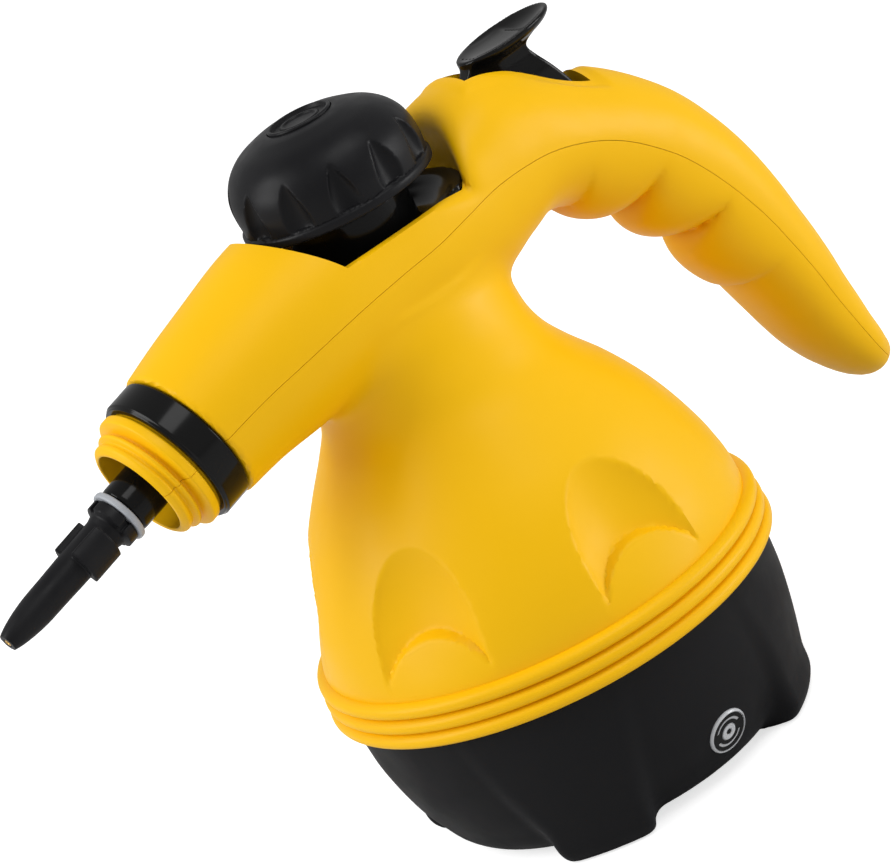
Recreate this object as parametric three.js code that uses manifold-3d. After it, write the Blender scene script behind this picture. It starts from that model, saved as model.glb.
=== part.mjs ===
// Handheld pressure steam cleaner: a bell-shaped pot on a black base, a neck with a threaded nose
// and jet nozzle, a press-and-turn filler cap, and a curved grip with a thumb trigger.
// Millimetres, +Z up, nose towards -X, grip towards +X. Everything is drawn from the pot's axis and
// the rim plane, where the yellow housing meets the base, and the finished group is then moved so
// that the origin lies on the floor under the middle.

import * as THREE from 'three';
import { mergeVertices } from 'three/addons/utils/BufferGeometryUtils.js';
import Module from 'manifold-3d';

const wasm = await Module();
wasm.setup();

const degree = Math.PI / 180;
const fullTurn = 2 * Math.PI;

// Facets round each kind of shape
const potFacets = 36;
const archFacets = 18;
const archHollowFacets = 12;
const noseFacets = 20;
const capFacets = 28;
const boilerFacets = 24;
const boltFacets = 6;
const shaftFacets = 16;
const holeFacets = 8;

// Driving sizes of the whole
const potRadius = 72;
const potDepth = 51;
const bellHeight = 108;
const archRise = 16;
const archHeight = bellHeight + archRise;
const noseReach = 75.2;
const gripReach = 134;
const archHalfWidth = 29.3;
const archHalfHeight = 28;
const noseTilt = 14 * degree;

// Walls and clearances
const wall = 2.4;
const slopedWall = 3.1;
const fitGap = 0.3;
const overrun = 4;

// Rim ribs round the foot of the housing
const ribCount = 3;
const ribPitch = 4.6;
const ribSwell = 2.3;
const ribStep = 0.6;
const rimHeight = ribCount * ribPitch;
const ribShares = [[0.2, 0.85], [0.7, 0.95], [1, 0]];
const bellFootRadius = potRadius - ribSwell - ribCount * ribStep;
const rimInnerRadius = bellFootRadius - wall;

// Thumb scallops pressed into the bell
const scallopAngles = [88 * degree, 150 * degree];
const scallopHalfAngle = 15.5 * degree;
const scallopTop = 54.5;
const scallopWide = 32;
const scallopDepth = 5;
const moonTop = 30;
const moonFoot = 15;
const moonDepth = 3.4;
const scallopColumnShares = [-1, -0.5, 0, 0.5, 1];
const frontColumns = 5;

// Finger lobes under the grip, measured along the arch's spine
const lobeCount = 3;
const lobePitch = 29;
const lobeStart = 157.5;
const lobeDepth = 3.7;
const stationsPerLobe = 4;
const nearShare = 0.15;

// Materials
const yellowPlastic = { color: 0xf5b70f, roughness: 0.5, metalness: 0 };
const blackPlastic = { color: 0x1c1c1e, roughness: 0.45, metalness: 0 };
const glossBlack = { color: 0x101012, roughness: 0.2, metalness: 0 };
const greyRubber = { color: 0x9ea1a3, roughness: 0.6, metalness: 0 };
const blackRubber = { color: 0x1a1a1a, roughness: 0.8, metalness: 0 };
const redSilicone = { color: 0xa03a24, roughness: 0.7, metalness: 0 };
const castAluminium = { color: 0xb4b6b8, roughness: 0.45, metalness: 1 };
const plainSteel = { color: 0xa9abae, roughness: 0.3, metalness: 1 };
const turnedBrass = { color: 0xc79a4a, roughness: 0.3, metalness: 1 };
const clearPlastic = { color: 0xd8dcdf, roughness: 0.15, metalness: 0 };
const whiteNylon = { color: 0xe4e2da, roughness: 0.5, metalness: 0 };
const silverWrap = { color: 0xc9cbcd, roughness: 0.5, metalness: 0.4 };

// Corners closer together than this are one corner
const weld = 0.0001;

// A closed geometry as a solid, turned right side out
function solid(geometry) {
  const bare = new THREE.BufferGeometry();
  bare.setAttribute('position', geometry.getAttribute('position'));
  if (geometry.index) bare.setIndex(geometry.index);
  const merged = mergeVertices(bare, weld);
  const points = merged.getAttribute('position').array;
  const corners = Uint32Array.from(merged.index.array);
  const kept = [];
  for (let i = 0; i < corners.length; i += 3) {
    const [a, b, c] = [corners[i], corners[i + 1], corners[i + 2]];
    if (a !== b && b !== c && c !== a) kept.push(a, b, c);
  }
  if (signedVolume(points, kept) < 0) kept.reverse();
  const mesh = new wasm.Mesh({ numProp: 3, vertProperties: Float32Array.from(points),
    triVerts: Uint32Array.from(kept) });
  return new wasm.Manifold(mesh);
}

function signedVolume(points, corners) {
  const [a, b, c] = [new THREE.Vector3(), new THREE.Vector3(), new THREE.Vector3()];
  let sum = 0;
  for (let i = 0; i < corners.length; i += 3) {
    a.fromArray(points, 3 * corners[i]);
    b.fromArray(points, 3 * corners[i + 1]);
    c.fromArray(points, 3 * corners[i + 2]);
    sum += a.dot(b.cross(c));
  }
  return sum;
}

function union(...parts) {
  return parts.reduce((whole, part) => whole.add(part));
}

function cut(whole, holes) {
  return holes.reduce((left, hole) => left.subtract(hole), whole);
}

// Rings of points, all with the same count, closed at both ends by a fan
function loft(rings) {
  const count = rings[0].length;
  const points = [];
  for (const ring of rings) for (const point of ring) points.push(point.x, point.y, point.z);
  const index = [];
  for (let i = 0; i + 1 < rings.length; i++) {
    for (let j = 0; j < count; j++) {
      const k = (j + 1) % count;
      const [a, b, c, d] = [i * count + j, i * count + k, (i + 1) * count + k, (i + 1) * count + j];
      index.push(a, b, c, a, c, d);
    }
  }
  const ends = [rings[0], rings[rings.length - 1]];
  ends.forEach((ring, end) => {
    const middle = ring.reduce((sum, point) => sum.add(point), new THREE.Vector3());
    middle.divideScalar(count);
    const hub = points.length / 3;
    points.push(middle.x, middle.y, middle.z);
    const first = end ? (rings.length - 1) * count : 0;
    for (let j = 0; j < count; j++) {
      const k = (j + 1) % count;
      if (end) index.push(hub, first + j, first + k);
      else index.push(hub, first + k, first + j);
    }
  });
  const geometry = new THREE.BufferGeometry();
  geometry.setAttribute('position', new THREE.Float32BufferAttribute(points, 3));
  geometry.setIndex(index);
  return geometry;
}

// A profile of [radius, height] pairs turned about +Z
function turnedSolid(profile, segments) {
  const points = profile.map(([radius, height]) => new THREE.Vector2(radius, height));
  return solid(new THREE.LatheGeometry(points, segments).rotateX(Math.PI / 2));
}

function rod(radius, low, high, segments = shaftFacets) {
  return turnedSolid([[0, low], [radius, low], [radius, high], [0, high]], segments);
}

function rodsAt(sites, radius, low, high, segments) {
  return sites.map(([x, y]) => rod(radius, low, high, segments).translate(x, y, 0));
}

function tube(inner, outer, low, high, segments) {
  return turnedSolid([[inner, low], [outer, low], [outer, high], [inner, high], [inner, low]], segments);
}

// A flat outline of [x, z] pairs, as wide as given across Y
function slab(outline, halfWidth) {
  const shape = new THREE.Shape(outline.map(([x, z]) => new THREE.Vector2(x, z)));
  const extruded = new THREE.ExtrudeGeometry(shape, { depth: 2 * halfWidth, bevelEnabled: false });
  return solid(extruded.rotateX(Math.PI / 2).translate(0, halfWidth, 0));
}

function block(xLow, xHigh, yLow, yHigh, zLow, zHigh) {
  const box = new THREE.BoxGeometry(xHigh - xLow, yHigh - yLow, zHigh - zLow);
  return solid(box.translate((xLow + xHigh) / 2, (yLow + yHigh) / 2, (zLow + zHigh) / 2));
}

// A round bar or pipe along a curve
const hoseSides = 6;

function hose(points, radius, steps) {
  const shape = new THREE.Shape();
  for (let i = 0; i < hoseSides; i++) {
    const angle = fullTurn * i / hoseSides;
    const [x, y] = [radius * Math.cos(angle), radius * Math.sin(angle)];
    if (i) shape.lineTo(x, y);
    else shape.moveTo(x, y);
  }
  const curve = new THREE.CatmullRomCurve3(points);
  return solid(new THREE.ExtrudeGeometry(shape, { extrudePath: curve, steps, bevelEnabled: false }));
}

// A coil spring standing on Z, wound as one tube
const stepsPerCurl = 7;
const wireSides = 4;

function coil(radius, wire, low, high, curls) {
  const steps = curls * stepsPerCurl;
  const rings = [];
  for (let i = 0; i <= steps; i++) {
    const angle = fullTurn * i / stepsPerCurl;
    const height = low + wire + (high - low - 2 * wire) * i / steps;
    const ring = [];
    for (let j = 0; j < wireSides; j++) {
      const round = fullTurn * j / wireSides;
      const reach = radius + wire * Math.cos(round);
      const lift = height + wire * Math.sin(round);
      ring.push(new THREE.Vector3(reach * Math.cos(angle), reach * Math.sin(angle), lift));
    }
    rings.push(ring);
  }
  return solid(loft(rings));
}

const group = new THREE.Group();

function add(name, part, look) {
  const { vertProperties, triVerts } = part.getMesh();
  const geometry = new THREE.BufferGeometry();
  geometry.setAttribute('position', new THREE.BufferAttribute(vertProperties, 3));
  geometry.setIndex(new THREE.BufferAttribute(triVerts, 1));
  const mesh = new THREE.Mesh(geometry, new THREE.MeshStandardMaterial(look));
  mesh.name = name;
  group.add(mesh);
}

// The bell: rows of height, reach towards the nose, reach towards the grip and half width
const bellShares = [
  [0.06, 0.998, 0.998, 0.998], [0.128, 0.998, 0.998, 0.998], [0.165, 0.992, 0.997, 0.995],
  [0.205, 0.979, 0.992, 0.986], [0.24, 0.965, 0.983, 0.974], [0.273, 0.949, 0.972, 0.961],
  [0.333, 0.914, 0.944, 0.93], [0.389, 0.872, 0.914, 0.895], [0.45, 0.821, 0.873, 0.85],
  [0.505, 0.77, 0.829, 0.802], [0.575, 0.696, 0.758, 0.736],
  [0.676, 0.58, 0.632, 0.628], [0.741, 0.522, 0.562, 0.555], [0.806, 0.505, 0.531, 0.505],
  [0.87, 0.525, 0.535, 0.46], [0.935, 0.59, 0.575, 0.43], [1.0, 0.66, 0.64, 0.4],
];

// How deep a scallop lies under the bell's surface at a height and an angle round the pot axis
function scallopDrop(height, angle) {
  const away = Math.min(...scallopAngles.map((centre) => Math.abs(Math.abs(angle) - centre)));
  const rise = Math.max(0, (height - scallopWide) / (scallopTop - scallopWide));
  if (rise >= 1 || height <= moonFoot) return 0;
  const across = away / (scallopHalfAngle * Math.sqrt(1 - rise * rise));
  if (across >= 1) return 0;
  const arc = Math.sqrt(1 - across * across);
  const moonHeight = moonFoot + (moonTop - moonFoot) * arc;
  if (height < moonHeight) return moonDepth * arc * (height - moonFoot) / (moonTop - moonFoot);
  return scallopDepth * (1 - across * across) * (1 - rise * rise);
}

// Columns round the bell, close together over the scallops
function bellColumns() {
  const half = [];
  for (let i = 1; i < frontColumns; i++) {
    half.push((scallopAngles[0] - scallopHalfAngle) * i / frontColumns);
  }
  scallopAngles.forEach((centre, index) => {
    for (const share of scallopColumnShares) half.push(centre + share * scallopHalfAngle);
    if (index === 0) half.push((scallopAngles[0] + scallopAngles[1]) / 2);
  });
  return [0, ...half, Math.PI, ...half.map((angle) => -angle).reverse()];
}

function bellRing([heightShare, noseShare, gripShare, sideShare], inset, columns) {
  const height = heightShare * bellHeight;
  return columns.map((angle) => {
    const along = Math.cos(angle) < 0 ? noseShare : gripShare;
    const drop = scallopDrop(height, angle) + inset;
    const x = Math.cos(angle) * (along * bellFootRadius - drop);
    const y = Math.sin(angle) * (sideShare * bellFootRadius - drop);
    return new THREE.Vector3(x, y, height);
  });
}

function bellSolid(inset, rowStep) {
  const columns = bellColumns();
  const rows = bellShares.filter((row, i) => i % rowStep === 0 || i === bellShares.length - 1);
  return solid(loft(rows.map((row) => bellRing(row, inset, columns))));
}

// The arch: rows of reach, height, half width, half height above and below the spine, squareness.
// Reaches on the nose side are shares of the nose's reach, and those past the axis of the grip's.
const archShares = [
  [-1.0, 0.878, 0.757, 0.792, 0.792, 2], [-0.8, 0.909, 0.833, 0.856, 0.829, 2],
  [-0.6, 0.932, 0.908, 0.932, 0.893, 2], [-0.44, 0.95, 0.966, 0.993, 0.946, 2],
  [-0.29, 0.964, 0.997, 1.03, 0.98, 2], [-0.1, 0.976, 1.0, 1.04, 1.0, 2.05],
  [0.06, 0.986, 0.99, 1.01, 1.0, 2.1], [0.149, 1.0, 0.956, 0.955, 1.0, 2.15],
  [0.246, 1.012, 0.893, 0.925, 1.0, 2.3], [0.336, 1.01, 0.84, 1.01, 0.92, 2.4],
  [0.41, 1.0, 0.795, 0.95, 0.80, 2.4], [0.485, 0.976, 0.754, 0.75, 0.70, 2.2],
  [0.552, 0.944, 0.72, 0.645, 0.68, 2.2], [0.612, 0.903, 0.7, 0.68, 0.665, 2.2],
  [0.664, 0.855, 0.689, 0.74, 0.66, 2.2], [0.716, 0.797, 0.683, 0.745, 0.64, 2.2],
  [0.757, 0.735, 0.683, 0.73, 0.625, 2.2], [0.791, 0.673, 0.683, 0.715, 0.605, 2.2],
  [0.821, 0.609, 0.68, 0.69, 0.59, 2.2], [0.847, 0.544, 0.68, 0.65, 0.57, 2.2],
  [0.869, 0.476, 0.675, 0.61, 0.557, 2.2], [0.89, 0.407, 0.665, 0.575, 0.54, 2.2],
  [0.909, 0.339, 0.65, 0.54, 0.515, 2.2], [0.927, 0.27, 0.62, 0.5, 0.485, 2.2],
  [0.948, 0.202, 0.585, 0.46, 0.445, 2.2], [0.972, 0.133, 0.535, 0.39, 0.36, 2.2],
  [1.0, 0.0685, 0.45, 0.32, 0.24, 2.2], [1.034, 0.02, 0.3, 0.22, 0.16, 2.1],
];

// The arch's spine as stations with place, direction and sizes
const archStations = archShares.map(([reach, height, side, up, down, power]) => ({
  x: reach * (reach < 0 ? noseReach : gripReach),
  z: height * archHeight,
  side: side * archHalfWidth,
  up: up * archHalfHeight,
  down: down * archHalfHeight,
  power,
}));
archStations.forEach((station, i) => {
  const before = archStations[Math.max(i - 1, 0)];
  const after = archStations[Math.min(i + 1, archStations.length - 1)];
  const slope = Math.atan2(after.z - before.z, after.x - before.x);
  station.slope = i === 0 ? noseTilt : slope;
  station.run = i === 0 ? 0 : before.run + Math.hypot(station.x - before.x, station.z - before.z);
});

// Fingers rest between lobes that stand out of the grip's underside, with a sharp notch between
function lobeSwell(run) {
  const place = (run - lobeStart) / lobePitch;
  const nearest = Math.round(place);
  if (nearest < 0 || nearest >= lobeCount) return 0;
  return lobeDepth * Math.cos(Math.PI * (place - nearest));
}

function archRing(station, inset, sides, withLobes) {
  const normal = new THREE.Vector3(-Math.sin(station.slope), 0, Math.cos(station.slope));
  const lobe = withLobes ? lobeSwell(station.run) : 0;
  const ring = [];
  for (let i = 0; i < sides; i++) {
    const angle = fullTurn * i / sides;
    const [c, s] = [Math.cos(angle), Math.sin(angle)];
    const bend = (Math.abs(c) ** station.power + Math.abs(s) ** station.power) ** (-1 / station.power);
    const tall = s > 0 ? station.up : station.down + lobe;
    const across = (station.side - inset) * c * bend;
    const along = (tall - inset) * s * bend;
    ring.push(new THREE.Vector3(station.x, across, station.z).addScaledVector(normal, along));
  }
  return ring;
}

function archSolid(inset, sides, stations, withLobes) {
  return solid(loft(stations.map((station) => archRing(station, inset, sides, withLobes))));
}

// Stations with more of them through the lobes, so that each lobe is round
function lobedStations() {
  const stations = [...archStations];
  for (let i = 0; i <= lobeCount * stationsPerLobe; i++) {
    const run = lobeStart + lobePitch * (i / stationsPerLobe - 1 / 2);
    const after = archStations.findIndex((station) => station.run > run);
    if (after < 1) continue;
    const [a, b] = [archStations[after - 1], archStations[after]];
    const share = (run - a.run) / (b.run - a.run);
    const mixed = {};
    for (const key of Object.keys(a)) mixed[key] = a[key] + share * (b[key] - a[key]);
    if (Math.min(share, 1 - share) > nearShare) stations.push(mixed);
  }
  return stations.sort((a, b) => a.run - b.run);
}

// The nose's own frame: height along the nose, outwards from the collar's back face
const noseRoot = new THREE.Vector3(archStations[0].x, 0, archStations[0].z);
const noseDirection = new THREE.Vector3(-Math.cos(noseTilt), 0, -Math.sin(noseTilt));
const noseTurn = new THREE.Quaternion().setFromUnitVectors(new THREE.Vector3(0, 0, 1), noseDirection);
const noseFrame = new THREE.Matrix4().compose(noseRoot, noseTurn, new THREE.Vector3(1, 1, 1));

function onNose(part) {
  return part.transform(noseFrame.toArray());
}

// The split threaded barrel in front of the collar
const journalRadius = 19.2;
const boreRadius = 14.4;
const shoulderRadius = 20.6;
const shoulderStart = 10.7;
const shoulderEnd = 15;
const threadRoot = 16.6;
const threadCrest = 18.2;
const mouthCrest = 17;
const threadWidth = 2;
const threadGap = 1;
const mouthLip = 0.8;
const secondThread = shoulderEnd + threadGap;
const mouthThread = secondThread + threadWidth + threadGap;
const barrelLength = mouthThread + threadWidth + mouthLip;
const barrelProfile = [
  [boreRadius, -wall / 2], [journalRadius, -wall / 2], [journalRadius, shoulderStart],
  [shoulderRadius, shoulderStart + mouthLip], [shoulderRadius, shoulderEnd - mouthLip],
  [threadRoot, shoulderEnd], [threadRoot, secondThread],
  [threadCrest, secondThread + threadWidth / 2], [threadRoot, secondThread + threadWidth],
  [threadRoot, mouthThread], [mouthCrest, mouthThread + threadWidth / 3],
  [mouthCrest, mouthThread + threadWidth], [boreRadius + mouthLip, barrelLength],
  [boreRadius, barrelLength], [boreRadius, -wall / 2],
];

function ribProfile() {
  const profile = [[rimInnerRadius, 0], [potRadius - ribSwell + ribStep / 2, 0]];
  for (let rib = 0; rib < ribCount; rib++) {
    const foot = potRadius - ribSwell - rib * ribStep;
    for (const [height, reach] of ribShares) {
      profile.push([foot + reach * ribSwell, (rib + height) * ribPitch]);
    }
  }
  profile.push([rimInnerRadius, rimHeight], [rimInnerRadius, 0]);
  return profile;
}

// Everything above or below the seam that follows the arch's spine, as one thick slab
function seamSlab(side) {
  const shift = side * fitGap / 2;
  const farOut = 2 * (gripReach + noseReach);
  const first = archStations[0];
  const last = archStations[archStations.length - 1];
  const nose = [first.x - farOut * Math.cos(first.slope), first.z - farOut * Math.sin(first.slope) + shift];
  const outline = [nose];
  for (const { x, z, slope } of archStations) {
    outline.push([x - shift * Math.sin(slope), z + shift * Math.cos(slope)]);
  }
  outline.push([last.x + farOut * Math.cos(last.slope), last.z + farOut * Math.sin(last.slope)]);
  outline.push([farOut, farOut], [-farOut, farOut]);
  return slab(outline, farOut);
}

// Housing as one hollow skin, before it is split. The hollow has every second row and station, it
// stops one wall short of the nose, and the grip's very end stays solid.
const hollowStep = 2;
const solidEnd = 4;
const plainStations = archStations.filter((station, i) => (
  i % hollowStep === 0 || i > archStations.length - solidEnd));
const noseStation = {
  ...plainStations[0],
  x: plainStations[0].x + wall * Math.cos(noseTilt),
  z: plainStations[0].z + wall * Math.sin(noseTilt),
};
const rim = turnedSolid(ribProfile(), potFacets);
const barrel = onNose(turnedSolid(barrelProfile, noseFacets));
const rawOutside = union(bellSolid(0, 1), archSolid(0, archFacets, lobedStations(), true));
const archHollow = archSolid(wall, archHollowFacets, [noseStation, ...plainStations.slice(1, -1)], false);
const rimHollow = rod(rimInnerRadius, -overrun, rimHeight + fitGap, potFacets);
const noseHollow = onNose(rod(boreRadius, -2 * overrun, barrelLength + overrun, noseFacets));
const hollow = union(bellSolid(slopedWall, hollowStep), archHollow, rimHollow);
const skin = union(rawOutside.subtract(hollow), rim, barrel).subtract(noseHollow);

// Filler well and trigger slot in the top of the housing
const wellRadius = 34;
const wellRise = 7.2;
const wellFloor = archHeight + wellRise;
const slotFront = 42;
const slotBack = 86.5;
const slotHalfWidth = 9;
const slotDrop = 2;
const slotFloor = archHeight - slotDrop;
const headRoom = 40;
// What the posts and ears of the upper half may fill: the arch, a little under its surface
const underSkin = archSolid(wall / 4, archFacets, archStations, false);
const wellCut = rod(wellRadius, wellFloor, wellFloor + headRoom, potFacets);
const slotCut = block(slotFront, slotBack, -slotHalfWidth, slotHalfWidth, slotFloor, slotFloor + headRoom);

// Base: a black cup with four moulded feet, closed under the rim by a spigot
const baseInset = 4.6;
const baseRadius = potRadius - baseInset;
const footStand = 1.5;
const floorLevel = footStand - potDepth;
const spigotHeight = 4;
const spigotDepth = 6;
const spigotOuter = rimInnerRadius - fitGap;
const baseShares = [
  [1.0, 0], [0.988, 0.18], [0.98, 0.3], [0.962, 0.43], [0.94, 0.55], [0.912, 0.67], [0.872, 0.79],
  [0.823, 0.91], [0.77, 0.975], [0.7, 1.0],
];

function basePoints(inset) {
  return baseShares.map(([reach, depth]) => {
    const height = -fitGap + depth * (floorLevel + fitGap);
    return [reach * baseRadius - inset, height + (depth > 0 ? inset * depth : inset)];
  });
}

// A foot swells out of the cup wall: rows of rise, reach of its face, reach of its back, breadth
const footRowShares = [
  [0, 0.893, 0.74, 0.97], [0.03, 0.918, 0.72, 1.03], [0.24, 0.953, 0.74, 1.08], [0.5, 0.998, 0.8, 1.2],
  [0.75, 1.012, 0.85, 1.4], [0.93, 0.99, 0.88, 1.6],
];
const footAcrossShares = [[-1, 1], [-0.78, 0.2], [-0.35, 0], [0.35, 0], [0.78, 0.2], [1, 1]];
const footHalfAngle = 14.5 * degree;
const footTurn = 49 * degree;
const footCorner = 4;
const footAngles = [footTurn, Math.PI - footTurn, Math.PI + footTurn, fullTurn - footTurn];

function aroundPot(radius, angle, height) {
  return new THREE.Vector3(radius * Math.cos(angle), radius * Math.sin(angle), height);
}

function foot(middle) {
  return solid(loft(footRowShares.map(([rise, face, back, broad]) => {
    const height = -potDepth + rise * potDepth;
    const spread = broad * footHalfAngle;
    const ring = footAcrossShares.map(([across, drop]) => (
      aroundPot(face * baseRadius - drop * footCorner, middle + across * spread, height)));
    ring.push(aroundPot(back * baseRadius, middle + spread, height));
    ring.push(aroundPot(back * baseRadius, middle - spread, height));
    return ring;
  })));
}

// Posts, ears and screws stand on one circle, one above each foot
const postInset = 17;
const postCircle = potRadius - postInset;
const postRadius = 3.4;
const postSites = footAngles.map((angle) => [postCircle * Math.cos(angle), postCircle * Math.sin(angle)]);

function postRods(radius, low, high) {
  return rodsAt(postSites, radius, low, high, holeFacets);
}

// Screws
const shankRadius = 1.5;
const screwHeadRadius = 2.9;
const screwHeadHeight = 2;
const screwClearance = 0.35;
const counterboreRadius = 3.1;
const counterboreWall = 1.5;
const counterboreDepth = 30;
const counterboreTop = -potDepth + counterboreDepth;

// A screw pointing up from the underside of its head's seat
function screw([x, y], seat, top, radius) {
  const shank = rod(radius, seat - screwHeadHeight / 2, top, holeFacets);
  const head = rod(screwHeadRadius, seat - screwHeadHeight, seat, holeFacets);
  return union(shank, head).translate(x, y, 0);
}

// Levels where base posts, mounting ring, boiler flanges and housing posts meet
const ringThickness = 1.2;
const flangeThickness = 2;
const gasketThickness = 1;
const ringLevel = 8.5;
const flangeLevel = ringLevel + ringThickness + fitGap;
const postTop = ringLevel - fitGap;
const housingPostFoot = ringLevel + ringThickness + fitGap;
const housingPostTop = 26;
const pilotTop = housingPostTop - wall;

// Indicator lamp behind a round lens in the side of the base
const lensAngle = -86.8 * degree;
const lensTilt = 24.6 * degree;
const lensDepthShare = 0.737;
const lensReachShare = 0.89;
const lensRadius = 7;
const lensThickness = 3;
const lensBossWall = 2;
const lensBossDepth = 5;
const lensProud = 0.6;
const lampRadius = 3;
const lampLength = 11;
const lensCentre = aroundPot(lensReachShare * baseRadius, lensAngle, lensDepthShare * floorLevel);
const lensFrame = new THREE.Matrix4()
  .setPosition(lensCentre)
  .multiply(new THREE.Matrix4().makeRotationZ(lensAngle))
  .multiply(new THREE.Matrix4().makeRotationY(Math.PI / 2 + lensTilt));

function atLens(part) {
  return part.transform(lensFrame.toArray());
}

// Cord gland in the back of the base, lying along X
const glandRadius = 5;
const glandBore = 3.4;
const glandFlange = 7.2;
const glandFlangeThickness = 1.6;
const glandNose = 4;
const glandTaper = 0.6;
const glandLevel = -14;
const glandBossDepth = 8;
const glandInside = 5;
const glandSeat = baseRadius - fitGap;
const glandFrame = new THREE.Matrix4().makeRotationY(Math.PI / 2).setPosition(0, 0, glandLevel);

function atGland(part) {
  return part.transform(glandFrame.toArray());
}

function makeBase() {
  const outside = [[0, floorLevel], ...basePoints(0).reverse(), [0, -fitGap]];
  const insidePoints = basePoints(wall).filter((point, i) => i % 2 === 1).reverse();
  const insideFloor = [0, insidePoints[0][1]];
  const inside = [insideFloor, ...insidePoints, [baseRadius - wall, overrun], [0, overrun]];
  const cup = union(turnedSolid(outside, potFacets), ...footAngles.map(foot));
  const cavity = turnedSolid(inside, potFacets);
  const ledgeOuter = baseRadius - wall / 2;
  const solids = [
    tube(spigotOuter - wall, spigotOuter, -spigotDepth, spigotHeight, potFacets),
    tube(spigotOuter - wall, ledgeOuter, -spigotDepth, -spigotDepth + wall, potFacets),
    atLens(rod(lensRadius + fitGap + lensBossWall, -lensBossDepth, overrun)).intersect(cup),
    atGland(rod(glandFlange + fitGap, glandSeat - glandBossDepth, glandSeat - fitGap / 2)),
    ...postRods(postRadius, counterboreTop, postTop),
    ...postRods(counterboreRadius + counterboreWall, floorLevel, counterboreTop + counterboreWall),
  ];
  const holes = [
    ...postRods(shankRadius + screwClearance, counterboreTop - overrun, postTop + overrun),
    ...postRods(counterboreRadius, -potDepth - overrun, counterboreTop),
    atLens(rod(lensRadius + fitGap, -lensThickness, overrun, noseFacets)),
    atLens(rod(lampRadius + fitGap, -lensBossDepth - overrun, 0, holeFacets)),
    atGland(rod(glandRadius + fitGap, 0, potRadius)),
  ];
  return cut(union(cup.subtract(cavity), ...solids), holes);
}

// Nozzle collar that clamps the housing halves together on the barrel's journal
const collarRadius = 22.1;
const collarLipRadius = 21.7;
const collarGroove = 0.6;
const collarBand = 5.6;
const collarLength = 10.3;
const collarFloor = collarRadius - collarGroove;
const collarBore = journalRadius + fitGap;
const collarProfile = [
  [collarBore, fitGap], [collarFloor, fitGap], [collarRadius, fitGap + collarGroove],
  [collarRadius, collarBand], [collarFloor, collarBand],
  [collarFloor, collarBand + collarGroove], [collarLipRadius, collarBand + collarGroove],
  [collarLipRadius, collarLength - collarGroove], [collarLipRadius - collarGroove, collarLength],
  [collarBore, collarLength], [collarBore, fitGap],
];

// Outlet tube, its seal and the jet nozzle with its brass tip, all on the nose axis
const outletRadius = 7.8;
const outletBore = 3;
const outletStart = -20;
const outletFlange = 2.4;
const outletFlangeRadius = boreRadius - fitGap;
const outletSeat = 29;
const outletSpigot = 4;
const sealThickness = 2;
const sealRadius = 8.7;
const sealFoot = outletSeat + fitGap;
const spigotEnd = sealFoot + sealThickness;
const jetStart = spigotEnd + fitGap;
const jetLength = 46.4;
const jetEnd = jetStart + jetLength;
const jetBore = 0.9;
const tipRadius = 1.3;
const tipLength = 5;
const tipBore = 0.5;
const jetRadius = 7.8;
const jetShares = [
  [0, 1], [0.065, 1], [0.09, 0.77], [0.13, 0.69], [0.38, 0.68], [0.39, 0.655], [0.77, 0.64],
  [0.97, 0.425], [1, 0.36],
];
const lugShares = [0.15, 0.38];
const lugRadius = 7.6;
const lugAngles = [Math.PI / 2, 265 * degree];
const lugSpread = 105 * degree;
const lugCurve = 6;
const outletProfile = [
  [outletBore, outletStart], [outletRadius, outletStart], [outletRadius, -outletFlange],
  [outletFlangeRadius, -outletFlange], [outletFlangeRadius, 0], [outletRadius, 0],
  [outletRadius, outletSeat], [outletSpigot, outletSeat], [outletSpigot, spigotEnd],
  [outletBore, spigotEnd], [outletBore, outletStart],
];

function lug(angle) {
  const [low, high] = lugShares.map((share) => jetStart + share * jetLength);
  const wedge = new THREE.Shape();
  wedge.moveTo(0, 0);
  wedge.absarc(0, 0, lugRadius, angle - lugSpread / 2, angle + lugSpread / 2, false);
  const settings = { depth: high - low, bevelEnabled: false, curveSegments: lugCurve };
  return solid(new THREE.ExtrudeGeometry(wedge, settings).translate(0, 0, low));
}

function makeJet() {
  const outline = jetShares.map(([along, across]) => [across * jetRadius, jetStart + along * jetLength]);
  const body = turnedSolid([[0, jetStart], ...outline, [0, jetEnd]], noseFacets);
  const tipSeat = rod(tipRadius + fitGap / 2, jetEnd - tipLength, jetEnd + overrun, holeFacets);
  const bore = rod(jetBore, jetStart - overrun, jetEnd + overrun, holeFacets);
  return cut(union(body, ...lugAngles.map(lug)), [tipSeat, bore]);
}

// Boiler: two pressed halves bolted through a gasket, on a ring that the posts hold
const flangeInset = 5.5;
const flangeBreadth = 7.5;
const flangeRadius = postCircle - flangeInset;
const boilerRadius = flangeRadius - flangeBreadth;
const boilerWall = 2;
const boilerInner = boilerRadius - boilerWall;
const boilerDepthShare = 0.7059;
const boilerDepth = boilerDepthShare * potDepth;
const boilerRiseShare = 0.4074;
const boilerRise = boilerRiseShare * bellHeight;
const boilerBottomShares = [[0, 0], [0.8, 0], [0.93, 0.06], [1, 0.22]];
const boilerTopShares = [[1, 0.42], [0.96, 0.62], [0.87, 0.79], [0.72, 0.93], [0.52, 1]];
const gasketLevel = flangeLevel + flangeThickness + fitGap / 2;
const upperFlangeLevel = gasketLevel + gasketThickness + fitGap / 2;
const boilerTop = upperFlangeLevel + boilerRise;
const boilerBottom = flangeLevel - boilerDepth;

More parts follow.
